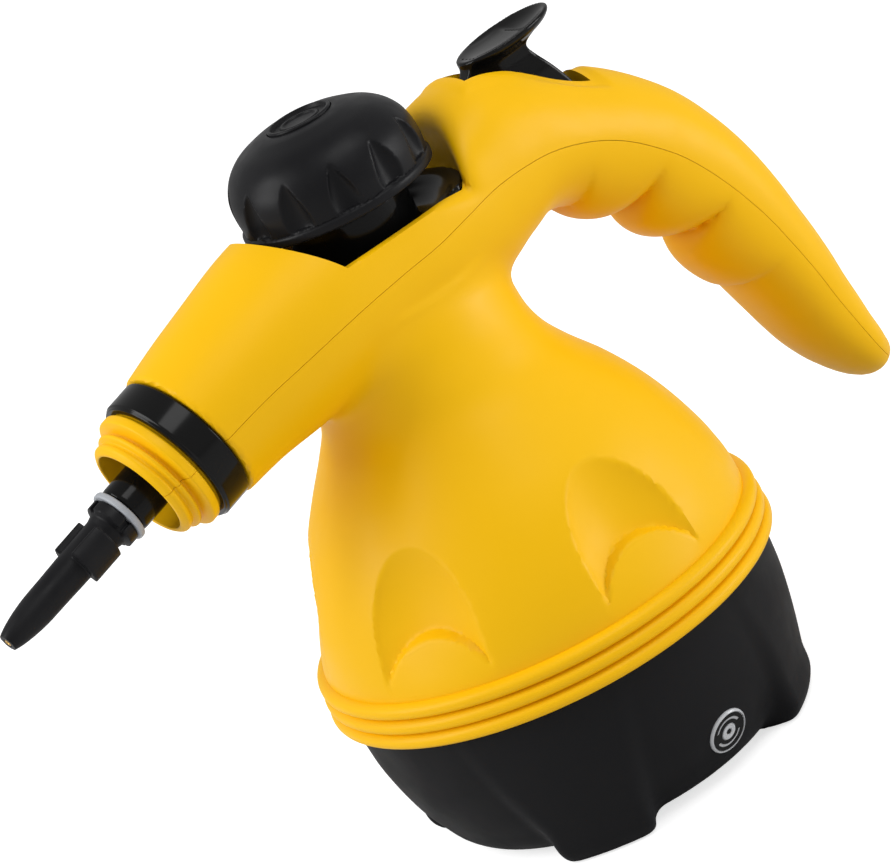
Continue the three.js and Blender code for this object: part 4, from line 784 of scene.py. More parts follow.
# Tools that cut the filler's well and the trigger's slot, and the walls round them
NOSE_SIDE, BELOW_WELL, ABOVE_WELL = 60.0, 100.0, 200.0
well = rod("well", WELL_RADIUS, WELL_FLOOR, WELL_FLOOR + HEAD_ROOM, 160)
well_front = prism("well_front", box_outline(-NOSE_SIDE, WELL_SOFT_FROM, BELOW_WELL, ABOVE_WELL), NOSE_SIDE)
join(well, well_front, "INTERSECT")
well_wall = lathe("well_wall", box_outline(
    WELL_RADIUS, WELL_RADIUS + WALL, WALL_FOOT, WELL_FLOOR + HEAD_ROOM), 96)
slot_cut = prism("slot", [
    (SLOT_FRONT, SLOT_FLOOR), (SLOT_BACK, SLOT_FLOOR), (SLOT_BACK, SLOT_FLOOR + HEAD_ROOM),
    (SLOT_MOUTH, SLOT_FLOOR + HEAD_ROOM), (SLOT_MOUTH, SLOT_ROOF), (SLOT_FRONT, SLOT_ROOF)], SLOT_HALF)
slot_wall = prism("slot_wall", box_outline(
    SLOT_FRONT - EAR_WALL, SLOT_BACK + EAR_WALL, WALL_FOOT, SLOT_FLOOR + HEAD_ROOM), SLOT_HALF + EAR_WALL)
RIM_OVERRUN, NOSE_WALL_RADIUS, NOSE_WALL_DEPTH = 6.0, 30.0, 20.0
rim_hollow = rod("rim_hollow", RIM_INNER, -RIM_OVERRUN, RIB_COUNT * RIB_PITCH + FIT, 160)
nose_wall = rod("nose_wall", NOSE_WALL_RADIUS, -WALL, NOSE_WALL_DEPTH, 32, nose_turn)

for tool in (well_wall, slot_wall, nose_wall):
    join(hollow, tool, "DIFFERENCE")
join(hollow, rim_hollow, "UNION")
join(housing, hollow, "DIFFERENCE")
for addition in (rim, barrel):
    join(housing, addition, "UNION")
for tool in (bore, well, slot_cut):
    join(housing, tool, "DIFFERENCE")

# The seam follows the spine and splits the shell in two
SEAM_GAP, SEAM_STRIDE = 0.08, 4
FAR = 400.0


def seam_block(name, shift):
    """Everything above the seam, raised by the shift."""
    outline = [(spine_x[0] + FAR * NOSE_OUT[0], spine_z[0] + FAR * NOSE_OUT[2] + shift)]
    for i in range(0, len(spine_run), SEAM_STRIDE):
        slope = spine_slope[i]
        outline.append((spine_x[i] - shift * math.sin(slope), spine_z[i] + shift * math.cos(slope)))
    outline.append((spine_x[-1] + FAR * GRIP_OUT[0], spine_z[-1] + FAR * GRIP_OUT[2]))
    outline += [(FAR, FAR), (-FAR, FAR)]
    return prism(name, outline, FAR / 4)


upper = copy_of(housing, "upper")
join(upper, seam_block("above", SEAM_GAP), "INTERSECT")
join(housing, seam_block("above", -SEAM_GAP), "DIFFERENCE")
dress(smooth(housing), "pot_and_grip_shell", yellow_plastic, "housing", ["lower_housing"])
dress(smooth(upper), "top_shell", yellow_plastic, "housing", ["upper_housing"])

# Base: a black tub with four moulded feet

BASE_RADIUS, TUB_FLOOR = 67.4, -49.5
BASE_PITCH, TUB_STEP = 1.0, 1.5
# The tub's wall: rows of reach and depth, from the rim to the floor
BASE_SHARES = [
    (1.0, 0), (0.988, 0.18), (0.98, 0.3), (0.962, 0.43), (0.94, 0.55), (0.912, 0.67), (0.872, 0.79),
    (0.823, 0.91), (0.77, 0.975), (0.7, 1.0)]

# A foot swells out of the tub's wall: rows of rise, reach of its face and of its back, and breadth
FOOT_ROWS = np.array([
    [0.0, 0.887, 0.74, 0.95], [0.03, 0.905, 0.72, 0.98], [0.24, 0.934, 0.74, 1.04],
    [0.5, 0.96, 0.8, 1.15], [0.75, 0.968, 0.85, 1.3], [0.93, 0.96, 0.88, 1.4]])
FOOT_HALF_ANGLE = math.radians(14.5)
FOOT_ANGLES = np.radians([49, 131, 229, 311])
FOOT_CORNER, FOOT_FLARE, FOOT_EDGE, FOOT_HEAD = 4.5, 5.0, 1.2, -1.5


def tub_outline(inset):
    """The tub's wall from the rim down to the middle of its floor."""
    wall_points = smooth_path([
        (reach * BASE_RADIUS - inset, -FIT + depth * (TUB_FLOOR + FIT) + inset * depth)
        for reach, depth in BASE_SHARES], TUB_STEP)
    return [(0.0, wall_points[-1][1])] + wall_points[::-1]


def nearest_turn(angle, angles):
    """The angle to the nearest of the given ones."""
    return np.abs((angle[..., None] - angles + math.pi) % math.tau - math.pi).min(-1)


def tub_field(x, y, z):
    """The tub as a solid, with feet that flare out of its wall and stand level on the floor."""
    out, angle = np.hypot(x, y), np.arctan2(y, x)
    tub = outline_field(tub_outline(0) + [(0.0, -FIT)], out, z)
    rise = (z + POT_DEPTH) / POT_DEPTH
    face, back, broad = (smooth_line(FOOT_ROWS[:, 0], FOOT_ROWS[:, i], rise) for i in (1, 2, 3))
    side = (nearest_turn(angle, FOOT_ANGLES) - broad * FOOT_HALF_ANGLE) * out
    foot = both(out - face * BASE_RADIUS, side, FOOT_CORNER)
    foot = both(foot, back * BASE_RADIUS - out, FOOT_EDGE)
    foot = both(foot, -POT_DEPTH - z, FOOT_EDGE)
    foot = np.maximum(foot, z - FOOT_HEAD)
    return np.maximum(either(tub, foot, FOOT_FLARE), np.maximum(z + FIT, -POT_DEPTH - z))


def ring_of_sites(radius, angles):
    """Places on a circle round the pot's axis."""
    return [(radius * math.cos(angle), radius * math.sin(angle), 0.0) for angle in angles]


# Posts above the feet, each with a deep screw well from below
POST_CIRCLE, POST_RADIUS, POST_FOOT_RADIUS, POST_TOP = 55.0, 3.4, 4.6, 8.2
SCREW_WELL_RADIUS, SCREW_WELL_TOP, SHANK_HOLE = 3.1, -21.0, 1.85
POST_STEP = SCREW_WELL_TOP + 1.5
POST_START = TUB_FLOOR + 0.5
POST_SITES = ring_of_sites(POST_CIRCLE, FOOT_ANGLES)

# A ring inside the tub's wall reaches up into the yellow rim
SPIGOT_INNER, SPIGOT_OUTER, SPIGOT_ROOT, SPIGOT_TOP = 62.8, 65.2, -6.0, 4.0
SPIGOT_FLANGE, SPIGOT_STEP = 66.2, -3.6

# The indicator lens leans out from the wall near one foot, and the cord's gland sits under the grip
LENS_ANGLE, LENS_TILT = math.radians(-86.8), math.radians(24.6)
LENS_RADIUS, LENS_DEPTH, LENS_PROUD, LENS_FIT = 7.0, 3.0, 0.6, 0.12
LENS_REACH, LENS_LEVEL = 0.89 * BASE_RADIUS, 0.737 * TUB_FLOOR
LAMP_HOLE_RADIUS, LAMP_HOLE_DEPTH, LENS_SEAT_MOUTH = 3.3, 12.0, 6.0
LENS_BOSS_WALL, LENS_BOSS_BACK, LENS_BOSS_FACE = 2.3, -5.0, -1.5
lens_turn = at(
    Matrix.Translation((LENS_REACH * math.cos(LENS_ANGLE), LENS_REACH * math.sin(LENS_ANGLE), LENS_LEVEL)),
    Matrix.Rotation(LENS_ANGLE, 4, "Z"), Matrix.Rotation(math.pi / 2 + LENS_TILT, 4, "Y"))
GLAND_LEVEL, GLAND_SEAT, GLAND_HOLE, PAST_TUB = -14.0, 67.1, 5.3, 80.0
GLAND_BOSS, GLAND_BOSS_DEPTH = 7.5, 8.0
gland_turn = at(Matrix.Translation((0, 0, GLAND_LEVEL)), Matrix.Rotation(math.pi / 2, 4, "Y"))

TUB_LOW, TUB_HIGH = (-74, -74, -53), (74, 74, 2)
tub = net("tub", tub_field, TUB_LOW, TUB_HIGH, BASE_PITCH)
BELOW, ABOVE = -56.0, 12.0
TUB_OVERRUN = 6.0
tub_room = lathe("tub_room", tub_outline(WALL) + [
    (BASE_RADIUS - WALL, TUB_OVERRUN), (0.0, TUB_OVERRUN)], 160)
spigot = lathe("spigot", [
    (SPIGOT_INNER, SPIGOT_ROOT), (SPIGOT_FLANGE, SPIGOT_ROOT), (SPIGOT_FLANGE, SPIGOT_STEP),
    (SPIGOT_OUTER, SPIGOT_STEP), (SPIGOT_OUTER, SPIGOT_TOP), (SPIGOT_INNER, SPIGOT_TOP)], 160)
post = lathe("post", [
    (0, POST_START), (POST_FOOT_RADIUS, POST_START), (POST_FOOT_RADIUS, POST_STEP),
    (POST_RADIUS, POST_STEP), (POST_RADIUS, POST_TOP), (0, POST_TOP)], 32)
post_bore = lathe("post_bore", [
    (0, BELOW), (SCREW_WELL_RADIUS, BELOW), (SCREW_WELL_RADIUS, SCREW_WELL_TOP),
    (SHANK_HOLE, SCREW_WELL_TOP), (SHANK_HOLE, ABOVE), (0, ABOVE)], 32)
lens_boss = rod(
    "lens_boss", LENS_RADIUS + LENS_BOSS_WALL, LENS_BOSS_BACK, LENS_BOSS_FACE, 64, lens_turn)
lens_seat = lathe("lens_seat", [
    (0, -LAMP_HOLE_DEPTH), (LAMP_HOLE_RADIUS, -LAMP_HOLE_DEPTH), (LAMP_HOLE_RADIUS, -LENS_DEPTH),
    (LENS_RADIUS + LENS_FIT, -LENS_DEPTH), (LENS_RADIUS + LENS_FIT, LENS_SEAT_MOUTH),
    (0, LENS_SEAT_MOUTH)], 96, lens_turn)
gland_boss = rod(
    "gland_boss", GLAND_BOSS, GLAND_SEAT - GLAND_BOSS_DEPTH, GLAND_SEAT - FIT / 2, 64, gland_turn)
gland_hole = rod("gland_hole", GLAND_HOLE, 0, PAST_TUB, 48, gland_turn)

join(tub, tub_room, "DIFFERENCE")
join(tub, spigot, "UNION")
join(tub, on_each_site("posts", POST_SITES, post, matte_black), "UNION")
join(tub, lens_boss, "UNION")
join(tub, gland_boss, "UNION")
join(tub, on_each_site("post_bores", POST_SITES, post_bore, matte_black), "DIFFERENCE")
join(tub, lens_seat, "DIFFERENCE")
join(tub, gland_hole, "DIFFERENCE")
dress(smooth(tub), "base_tub", matte_black, "housing", ["base_shell"])

# A silver face with a dark ring and a dark middle let into it, and two arcs left open in the ring
MARK_INNER, MARK_OUTER, MARK_MIDDLE, MARK_FLOOR, MARK_TOP = 2.5, 6.4, 1.1, 0.25, 0.5
MARK_START = MARK_FLOOR + 0.01
ARC_INNER, ARC_OUTER, ARC_GAP = 4.0, 4.9, 1.7
LENS_BACK, LENS_FACE_RADIUS, LENS_EDGE = -2.7, 6.6, 0.08
lens = lathe("lens", soften([
    (0, LENS_BACK), (LENS_FACE_RADIUS, LENS_BACK), (LENS_RADIUS, -2.3), (LENS_RADIUS, 0.1),
    (LENS_FACE_RADIUS, LENS_PROUD), (MARK_OUTER, LENS_PROUD), (MARK_OUTER, MARK_FLOOR),
    (MARK_INNER, MARK_FLOOR), (MARK_INNER, LENS_PROUD), (MARK_MIDDLE, LENS_PROUD),
    (MARK_MIDDLE, MARK_FLOOR), (0, MARK_FLOOR)], LENS_EDGE, False), 96, lens_turn)
mark_outline = box_outline(MARK_INNER + FIT, MARK_OUTER - FIT, MARK_START, MARK_TOP)
mark = lathe("mark", mark_outline, 96, lens_turn)
arcs = lathe("arcs", box_outline(ARC_INNER, ARC_OUTER, 0, 1), 96, lens_turn)
across_lens = at(Matrix(lens_turn.tolist()), Matrix.Rotation(math.pi / 2, 4, "X"))
arc_gap = rod("arc_gap", ARC_GAP, -8, 8, 24, across_lens)
mark_middle = rod("mark_middle", MARK_MIDDLE - FIT, MARK_START, MARK_TOP, 48, lens_turn)
join(arcs, arc_gap, "DIFFERENCE")
join(mark, arcs, "DIFFERENCE")
join(mark, mark_middle, "UNION")
dress(smooth(lens), "indicator_window", clear_lens, "housing", ["indicator_lens"])
dress(smooth(mark), "indicator_mark", gloss_black, "housing")

# The rubber gland, with a flange on the wall and a groove behind its lip
GLAND_BORE, GLAND_NECK, GLAND_FLANGE, GLAND_GROOVE = 3.4, 5.0, 7.2, 4.3
GLAND_ROOT, GLAND_FLANGE_FACE, GLAND_END = 59.7, 68.7, 72.7
gland = lathe("gland", soften([
    (GLAND_BORE, GLAND_ROOT), (GLAND_NECK, GLAND_ROOT), (GLAND_NECK, GLAND_SEAT),
    (GLAND_FLANGE, GLAND_SEAT), (GLAND_FLANGE, GLAND_FLANGE_FACE), (GLAND_NECK, GLAND_FLANGE_FACE),
    (4.9, 69.6), (GLAND_GROOVE, 69.8), (GLAND_GROOVE, 70.5), (4.8, 70.7), (4.7, 71.6),
    (4.4, GLAND_END), (GLAND_BORE, GLAND_END)], EDGE), 64, gland_turn)
dress(smooth(gland), "cord_inlet_gland", black_rubber, "housing", ["cord_gland"])

# Nose: collar, outlet tube, washer, jet and its brass tip, all measured outwards along the nose

COLLAR_INNER, COLLAR_RADIUS, COLLAR_FOOT, COLLAR_END = 19.5, 22.1, 0.3, 10.3
collar = lathe("collar", soften([
    (COLLAR_INNER, COLLAR_FOOT), (21.5, COLLAR_FOOT), (COLLAR_RADIUS, 0.9), (COLLAR_RADIUS, 9.2),
    (21.7, 9.5), (21.4, COLLAR_END), (COLLAR_INNER, COLLAR_END)], EDGE), 192, nose_turn)
dress(smooth(collar), "nozzle_collar_ring", gloss_black, "housing", ["nozzle_collar"])

OUTLET_BORE, OUTLET_RADIUS, OUTLET_FLANGE, SPOUT_RADIUS = 3.0, 7.8, 14.1, 4.0
OUTLET_ROOT, OUTLET_SHOULDER, SPOUT_END, OUTLET_EDGE = -20.0, 29.0, 31.3, 0.5
outlet = lathe("outlet", soften([
    (OUTLET_BORE, OUTLET_ROOT), (OUTLET_RADIUS, OUTLET_ROOT), (OUTLET_RADIUS, -WALL),
    (OUTLET_FLANGE, -WALL), (OUTLET_FLANGE, 0), (OUTLET_RADIUS, 0), (OUTLET_RADIUS, 27.9),
    (7.4, OUTLET_SHOULDER), (SPOUT_RADIUS, OUTLET_SHOULDER), (SPOUT_RADIUS, SPOUT_END),
    (OUTLET_BORE, SPOUT_END)], OUTLET_EDGE), 96, nose_turn)
dress(smooth(outlet), "steam_outlet_tube", gloss_black, "housing", ["outlet_tube"])

WASHER_BORE, WASHER_FACE, WASHER_RADIUS, WASHER_FOOT = 4.3, 8.4, 8.7, 29.3
washer = lathe("washer", soften([
    (WASHER_BORE, WASHER_FOOT), (WASHER_FACE, WASHER_FOOT), (WASHER_RADIUS, 29.7),
    (WASHER_RADIUS, 30.9), (WASHER_FACE, SPOUT_END), (WASHER_BORE, SPOUT_END)], EDGE), 96, nose_turn)
dress(smooth(washer), "nozzle_washer", grey_rubber, "housing", ["nozzle_seal"])

# The jet tapers from a notched flange, and two lugs wrap its root
JET_START, JET_LENGTH, JET_RADIUS, JET_PITCH, JET_STEP = 31.6, 46.4, 7.8, 0.42, 1.5
JET_END = JET_START + JET_LENGTH
# Rows of way along the jet and of reach
JET_SHARES = [
    (0.13, 0.7), (0.25, 0.685), (0.38, 0.68), (0.58, 0.652), (0.77, 0.62), (0.89, 0.53),
    (0.965, 0.43), (1.0, 0.36)]
FLANGE_END, FLANGE_ROOT, FLANGE_SLOPE = JET_START + 3.1, 6.0, 0.9
FLANGE_NOTCHES, FLANGE_NOTCH_EDGE = 4, 0.3
FLANGE_NOTCH_HALF, FLANGE_NOTCH_DEPTH, FLANGE_NOTCH_LENGTH = 0.9, 1.3, 4.0
LUG_LOW, LUG_HIGH, LUG_RADIUS, LUG_EDGE, LUG_FILLET = 0.15, 0.38, 7.6, 0.5, 0.4
LUG_ANGLES, LUG_SPREAD = np.radians([90, 265]), math.radians(105)
JET_BORE, TIP_SEAT, TIP_SEAT_DEPTH, BEFORE_JET, PAST_JET = 0.9, 1.45, 5.0, 20.0, 90.0
jet_outline = [
    (0.0, JET_START), (JET_RADIUS, JET_START), (JET_RADIUS, FLANGE_END),
    (FLANGE_ROOT, FLANGE_END + FLANGE_SLOPE)]
jet_outline += smooth_path([
    (across * JET_RADIUS, JET_START + along * JET_LENGTH) for along, across in JET_SHARES], JET_STEP)
jet_outline += [(0.0, JET_END)]


def nearest_copy(angle, count):
    """The angle from the nearest of a count of evenly spaced places."""
    pitch = math.tau / count
    return (angle + pitch / 2) % pitch - pitch / 2


def jet_field(x, y, z):
    """The jet as a solid, with its lugs and the notches in its flange."""
    out, angle = np.hypot(x, y), np.arctan2(y, x)
    body = outline_field(jet_outline, out, z)
    away = nearest_turn(angle, LUG_ANGLES)
    lug = both(out - LUG_RADIUS, (away - LUG_SPREAD / 2) * out, LUG_EDGE)
    low, high = (JET_START + share * JET_LENGTH for share in (LUG_LOW, LUG_HIGH))
    lug = both(both(lug, z - high, LUG_EDGE), low - z, LUG_EDGE)
    aside = np.abs(nearest_copy(angle, FLANGE_NOTCHES)) * out - FLANGE_NOTCH_HALF
    inside = JET_RADIUS - FLANGE_NOTCH_DEPTH - out
    notch = np.maximum(aside, np.maximum(inside, z - JET_START - FLANGE_NOTCH_LENGTH))
    return without(either(body, lug, LUG_FILLET), notch, FLANGE_NOTCH_EDGE)


JET_LOW, JET_HIGH = (-9, -9, 30), (9, 9, 79.5)
jet = net("jet", jet_field, JET_LOW, JET_HIGH, JET_PITCH, nose_turn)
jet_bore = rod("jet_bore", JET_BORE, BEFORE_JET, PAST_JET, 32, nose_turn)
tip_seat = rod("tip_seat", TIP_SEAT, JET_END - TIP_SEAT_DEPTH, PAST_JET, 32, nose_turn)
join(jet, jet_bore, "DIFFERENCE")
join(jet, tip_seat, "DIFFERENCE")
dress(smooth(jet, sharp_angle=40), "steam_jet", nozzle_black, "housing", ["jet_nozzle"])

TIP_BORE, TIP_RADIUS, TIP_FOOT, TIP_END, TIP_EDGE = 0.5, 1.3, 73.2, 78.0, 0.12
tip = lathe("tip", soften([
    (TIP_BORE, TIP_FOOT), (TIP_RADIUS, TIP_FOOT), (TIP_RADIUS, 77.7), (1.05, TIP_END),
    (0.7, TIP_END), (TIP_BORE, 77.8)], TIP_EDGE), 48, nose_turn)
dress(smooth(tip), "jet_tip", turned_brass, "housing", ["nozzle_tip"])

# Filler: the tray round the neck, the fluted cap, its badge and its plug

# The tray slopes down to a throat that hides the filler neck
TRAY_PITCH, TRAY_STEP, TRAY_EDGE = 0.7, 0.8, 0.3
TRAY_RIM, TRAY_TOP, TRAY_FOOT = 33.7, 132.0, 122.0
THROAT_BORE, THROAT_ROOM, THROAT_RADIUS, THROAT_TOP, THROAT_STEP = 13.35, 16.8, 18.6, 139.2, 135.6
tray_over = smooth_path([
    (33.0, TRAY_TOP), (31.5, 131.6), (27.5, 128.8), (22.0, 125.6), (19.4, 125.4)], TRAY_STEP)
tray_under = smooth_path([
    (THROAT_BORE + 1, TRAY_FOOT), (22.5, 122.6), (28.5, 126.4), (TRAY_RIM, 130.4)], TRAY_STEP)
tray_outline = [(THROAT_BORE, TRAY_FOOT)] + tray_under + [(TRAY_RIM, TRAY_TOP)] + tray_over + [
    (THROAT_RADIUS, 126.4), (THROAT_RADIUS, THROAT_TOP), (THROAT_ROOM, THROAT_TOP),
    (THROAT_ROOM, THROAT_STEP), (THROAT_BORE, THROAT_STEP)]


def tray_field(x, y, z):
    """The tray, as far as the room inside the arch."""
    sheet = outline_field(tray_outline, np.hypot(x, y), z)
    return both(sheet, arch_field(x, y, z) + WALL + 2 * FIT, TRAY_EDGE)


TRAY_LOW, TRAY_HIGH = (-35, -35, 120), (35, 35, 141)
tray = net("tray", tray_field, TRAY_LOW, TRAY_HIGH, TRAY_PITCH)
dress(smooth(tray), "filler_tray", gloss_black, "housing", ["well_liner"])

# The cap: rows of reach and height for its bead, its dome and the room under it
CAP_RIM, CAP_HEIGHT, CAP_RADIUS, CAP_PITCH, CAP_STEP = 141.3, 25.8, 29.6, 0.55, 1.0
CAP_TOP = CAP_RIM + CAP_HEIGHT
BEAD_SHARES = [
    (0.972, 0), (0.995, 0.012), (1.0, 0.04), (1.0, 0.085), (0.992, 0.108), (0.968, 0.116)]
DOME_SHARES = [
    (0.978, 0.13), (0.986, 0.24), (0.986, 0.36), (0.95, 0.56), (0.87, 0.72), (0.74, 0.855),
    (0.57, 0.945), (0.47, 0.984), (0.39, 1.0)]
ROOM_SHARES, ROOM_STEP = [(0.5, 0.86), (0.76, 0.6), (0.85, 0.35), (0.86, -0.1)], 1.5
BADGE_RADIUS, BADGE_FLOOR, ABOVE_CAP = 9.9, CAP_TOP - 1.0, 175.0
SKIRT_INNER, SKIRT_OUTER, SKIRT_FOOT, SKIRT_HEAD = 15.9, 17.5, 142.8, 164.5
FLUTE_COUNT, FLUTE_TURN, FLUTE_EDGE, FLUTE_FOOT_EDGE = 12, math.radians(7), 0.35, 0.2
FLUTE_FOOT_RADIUS, FLUTE_TIP_RADIUS, FLUTE_TAPER = 6.6, 0.5, 1.15
FLUTE_LOW, FLUTE_HIGH = (1.145, 0.135), (0.925, 0.66)


def on_cap(shares):
    """Points of the cap's profile from shares of its radius and its height."""
    return [(across * CAP_RADIUS, CAP_RIM + up * CAP_HEIGHT) for across, up in shares]


cap_outline = [(0.0, CAP_RIM)] + on_cap(BEAD_SHARES) + smooth_path(on_cap(DOME_SHARES), CAP_STEP) + [
    (0.0, CAP_TOP)]


def cap_field(x, y, z):
    """The dome with slim cones laid into its side, wide at the foot and cut flat by the step."""
    out, angle = np.hypot(x, y), np.arctan2(y, x)
    dome = outline_field(cap_outline, out, z)
    turn = nearest_copy(angle - FLUTE_TURN, FLUTE_COUNT)
    (low_out, low_z), (high_out, high_z) = on_cap([FLUTE_LOW, FLUTE_HIGH])
    ahead, aside = out * np.cos(turn), out * np.sin(turn)
    rise = np.clip((z - low_z) / (high_z - low_z), 0, 1)
    ahead = ahead - low_out - (high_out - low_out) * rise
    beyond = z - low_z - (high_z - low_z) * rise
    radius = FLUTE_FOOT_RADIUS + (FLUTE_TIP_RADIUS - FLUTE_FOOT_RADIUS) * rise ** FLUTE_TAPER
    flute = np.sqrt(ahead ** 2 + aside ** 2 + beyond ** 2) - radius
    flute = both(flute, low_z - z, FLUTE_FOOT_EDGE)
    return without(dome, flute, FLUTE_EDGE)


CAP_LOW, CAP_HIGH = (-31, -31, 139.5), (31, 31, 168.5)
cap = net("cap", cap_field, CAP_LOW, CAP_HIGH, CAP_PITCH)
room_outline = smooth_path(on_cap(ROOM_SHARES), ROOM_STEP)
room_outline = [(0, room_outline[0][1])] + room_outline + [(0, room_outline[-1][1])]
skirt = lathe("skirt", box_outline(SKIRT_INNER, SKIRT_OUTER, SKIRT_FOOT, SKIRT_HEAD), 96)
badge_seat = rod("badge_seat", BADGE_RADIUS + FIT, BADGE_FLOOR - FIT, ABOVE_CAP, 128)
join(cap, lathe("cap_room", room_outline, 128), "DIFFERENCE")
join(cap, skirt, "UNION")
join(cap, badge_seat, "DIFFERENCE")
dress(smooth(cap, sharp_angle=40), "fluted_cap", cap_black, "cap_shell", ["cap_shell"])

# The badge: rows of reach and thickness, with a raised rim and a raised ring
BADGE_ROWS = [
    (0, 0), (BADGE_RADIUS, 0), (BADGE_RADIUS, 1.4), (9.6, 1.8), (8.9, 1.8), (8.5, 0.7), (6.2, 0.7),
    (5.9, 1.2), (5.1, 1.2), (4.8, 0.7), (0, 0.6)]
BADGE_EDGE = 0.15
badge = lathe("badge", soften([
    (reach, BADGE_FLOOR + thickness) for reach, thickness in BADGE_ROWS], BADGE_EDGE, False), 96)
dress(smooth(badge), "cap_disc", cap_black, "cap_shell", ["cap_badge"])

# The plug: a stem in the neck, a flange over the seal, and a hub inside the cap's skirt
STEM_RADIUS, FLANGE_RADIUS, HUB_RADIUS, VENT_RADIUS, SPRING_ROOM = 10.3, 16.4, 15.6, 2.0, 5.0
STEM_FOOT, PLUG_HEAD, PLUG_SHOULDER, HUB_TOP, SPRING_SEAT = 118.0, 136.8, 139.4, 150.0, 131.0
plug = lathe("plug", soften([
    (VENT_RADIUS, STEM_FOOT), (9.6, STEM_FOOT), (STEM_RADIUS, 118.8), (STEM_RADIUS, PLUG_HEAD),
    (FLANGE_RADIUS, PLUG_HEAD), (FLANGE_RADIUS, PLUG_SHOULDER), (HUB_RADIUS, PLUG_SHOULDER),
    (HUB_RADIUS, HUB_TOP), (SPRING_ROOM, HUB_TOP), (SPRING_ROOM, SPRING_SEAT),
    (VENT_RADIUS, SPRING_SEAT)], EDGE), 96)
dress(smooth(plug), "cap_plug_stem", matte_black, "cap_plug", ["cap_plug"])

# Trigger: a dished thumb pad on a waisted web, hung from a cross pin

HINGE_X, HINGE_Z = 50.0, 143.0
PAD_CENTRE, PAD_TILT = (70.7, 155.2), math.radians(3.6)
PAD_HALF_LENGTH, PAD_HALF_WIDTH, PAD_MEAN, PAD_FILLET, PAD_STEP = 16.6, 11.1, 13.5, 2.2, 0.5
WEB_HALF, WEB_ROUNDING, WEB_EDGE, WEB_FILLET = 7.4, 1.6, 0.9, 0.8
WAIST, WAIST_RISE, WAIST_SPREAD = 1.2, 4.5, 4.2
BOSS_RADIUS, BOSS_EDGE, PIN_HOLE, PAST_WEB, PIN_RADIUS, PIN_HALF = 3.8, 0.5, 1.65, 20.0, 1.5, 12.1
TRIGGER_PITCH = 0.46
# The web's outline: reach and height from the hinge
WEB_POINTS = [
    (-2.3, 1.6), (0.6, 4.6), (4.8, 9.2), (8.0, 10.4), (25.1, 10.6), (22.8, 6.6), (25.2, 2.0),
    (28.2, -3.4), (30.8, -8.6), (32.8, -14.0), (31.0, -17.0), (19.0, -16.0), (11.4, -6.0), (0.0, -3.5)]
WEB_FRONT_HALF, WEB_TAPER = 2.6, (52.0, 64.0)
# The pad's section: share of its reach and height, first underneath and then over the dish
PAD_UNDERSIDE = [(0, -4.0), (0.5, -3.9), (0.8, -3.0), (0.955, -1.7), (1.0, -0.75), (0.99, -0.1)]
PAD_DISH = [(0.94, 0.0), (0.88, -0.3), (0.7, -1.2), (0.45, -1.95), (0.2, -2.25), (0, -2.3)]
web_outline = soften([(HINGE_X + x, HINGE_Z + z) for x, z in WEB_POINTS], WEB_ROUNDING)
pad_outline = smooth_path([(share * PAD_MEAN, up) for share, up in PAD_UNDERSIDE + PAD_DISH], PAD_STEP)


def pad_place(x, z):
    """How far a point lies along the tilted pad, and above it."""
    ahead, above = x - PAD_CENTRE[0], z - PAD_CENTRE[1]
    return (ahead * math.cos(PAD_TILT) + above * math.sin(PAD_TILT),
            above * math.cos(PAD_TILT) - ahead * math.sin(PAD_TILT))


def trigger_field(x, y, z):
    """The pad on its web, with the boss that the pin goes through."""
    along, above = pad_place(x, z)
    share = np.hypot(along / PAD_HALF_LENGTH, y / PAD_HALF_WIDTH)
    pad = outline_field(pad_outline, share * PAD_MEAN, above)
    broad = smooth_step(*WEB_TAPER, x)
    waist = WAIST * np.exp(-((z - HINGE_Z - WAIST_RISE) / WAIST_SPREAD) ** 2)
    half = WEB_FRONT_HALF + (WEB_HALF - WEB_FRONT_HALF) * broad
    web = both(outline_field(web_outline, x, z), np.abs(y) - half + waist * broad, WEB_EDGE)
    boss = both(np.hypot(x - HINGE_X, z - HINGE_Z) - BOSS_RADIUS, np.abs(y) - WEB_HALF, BOSS_EDGE)
    return either(either(web, boss, WEB_FILLET), pad, PAD_FILLET)


TRIGGER_LOW, TRIGGER_HIGH = (43, -13, 124), (90, 13, 160)
trigger = net("trigger", trigger_field, TRIGGER_LOW, TRIGGER_HIGH, TRIGGER_PITCH)
pin_turn = at(Matrix.Translation((HINGE_X, 0, HINGE_Z)), Matrix.Rotation(math.pi / 2, 4, "X"))
join(trigger, rod("pin_hole", PIN_HOLE, -PAST_WEB, PAST_WEB, 32, pin_turn), "DIFFERENCE")

# Low bumps in rows across the pad's nose end, for the thumb
BUMP_ROWS, BUMP_COLUMNS, BUMP_PITCH, BUMP_START = 3, 4, 2.0, -13.7
BUMP_RADIUS, BUMP_SINK, BUMP_RINGS = 0.75, 0.35, 9
dish = np.array(PAD_DISH[::-1])
bump_sites = []
for row in range(BUMP_ROWS):
    along = BUMP_START + row * BUMP_PITCH
    for column in range(BUMP_COLUMNS):
        across = (column - (BUMP_COLUMNS - 1) / 2) * BUMP_PITCH
        share = math.hypot(along / PAD_HALF_LENGTH, across / PAD_HALF_WIDTH)
        above = float(smooth_line(dish[:, 0], dish[:, 1], share)) - BUMP_SINK
        bump_sites.append((
            PAD_CENTRE[0] + along * math.cos(PAD_TILT) - above * math.sin(PAD_TILT), across,
            PAD_CENTRE[1] + along * math.sin(PAD_TILT) + above * math.cos(PAD_TILT)))
bump = lathe("bump", [
    (BUMP_RADIUS * math.sin(angle), -BUMP_RADIUS * math.cos(angle))
    for angle in np.linspace(0, math.pi, BUMP_RINGS)], 16)
join(trigger, on_each_site("bumps", bump_sites, bump, gloss_black), "UNION")
dress(smooth(trigger, sharp_angle=45), "thumb_trigger", gloss_black, "trigger", ["trigger"])

# Pins, fasteners and springs

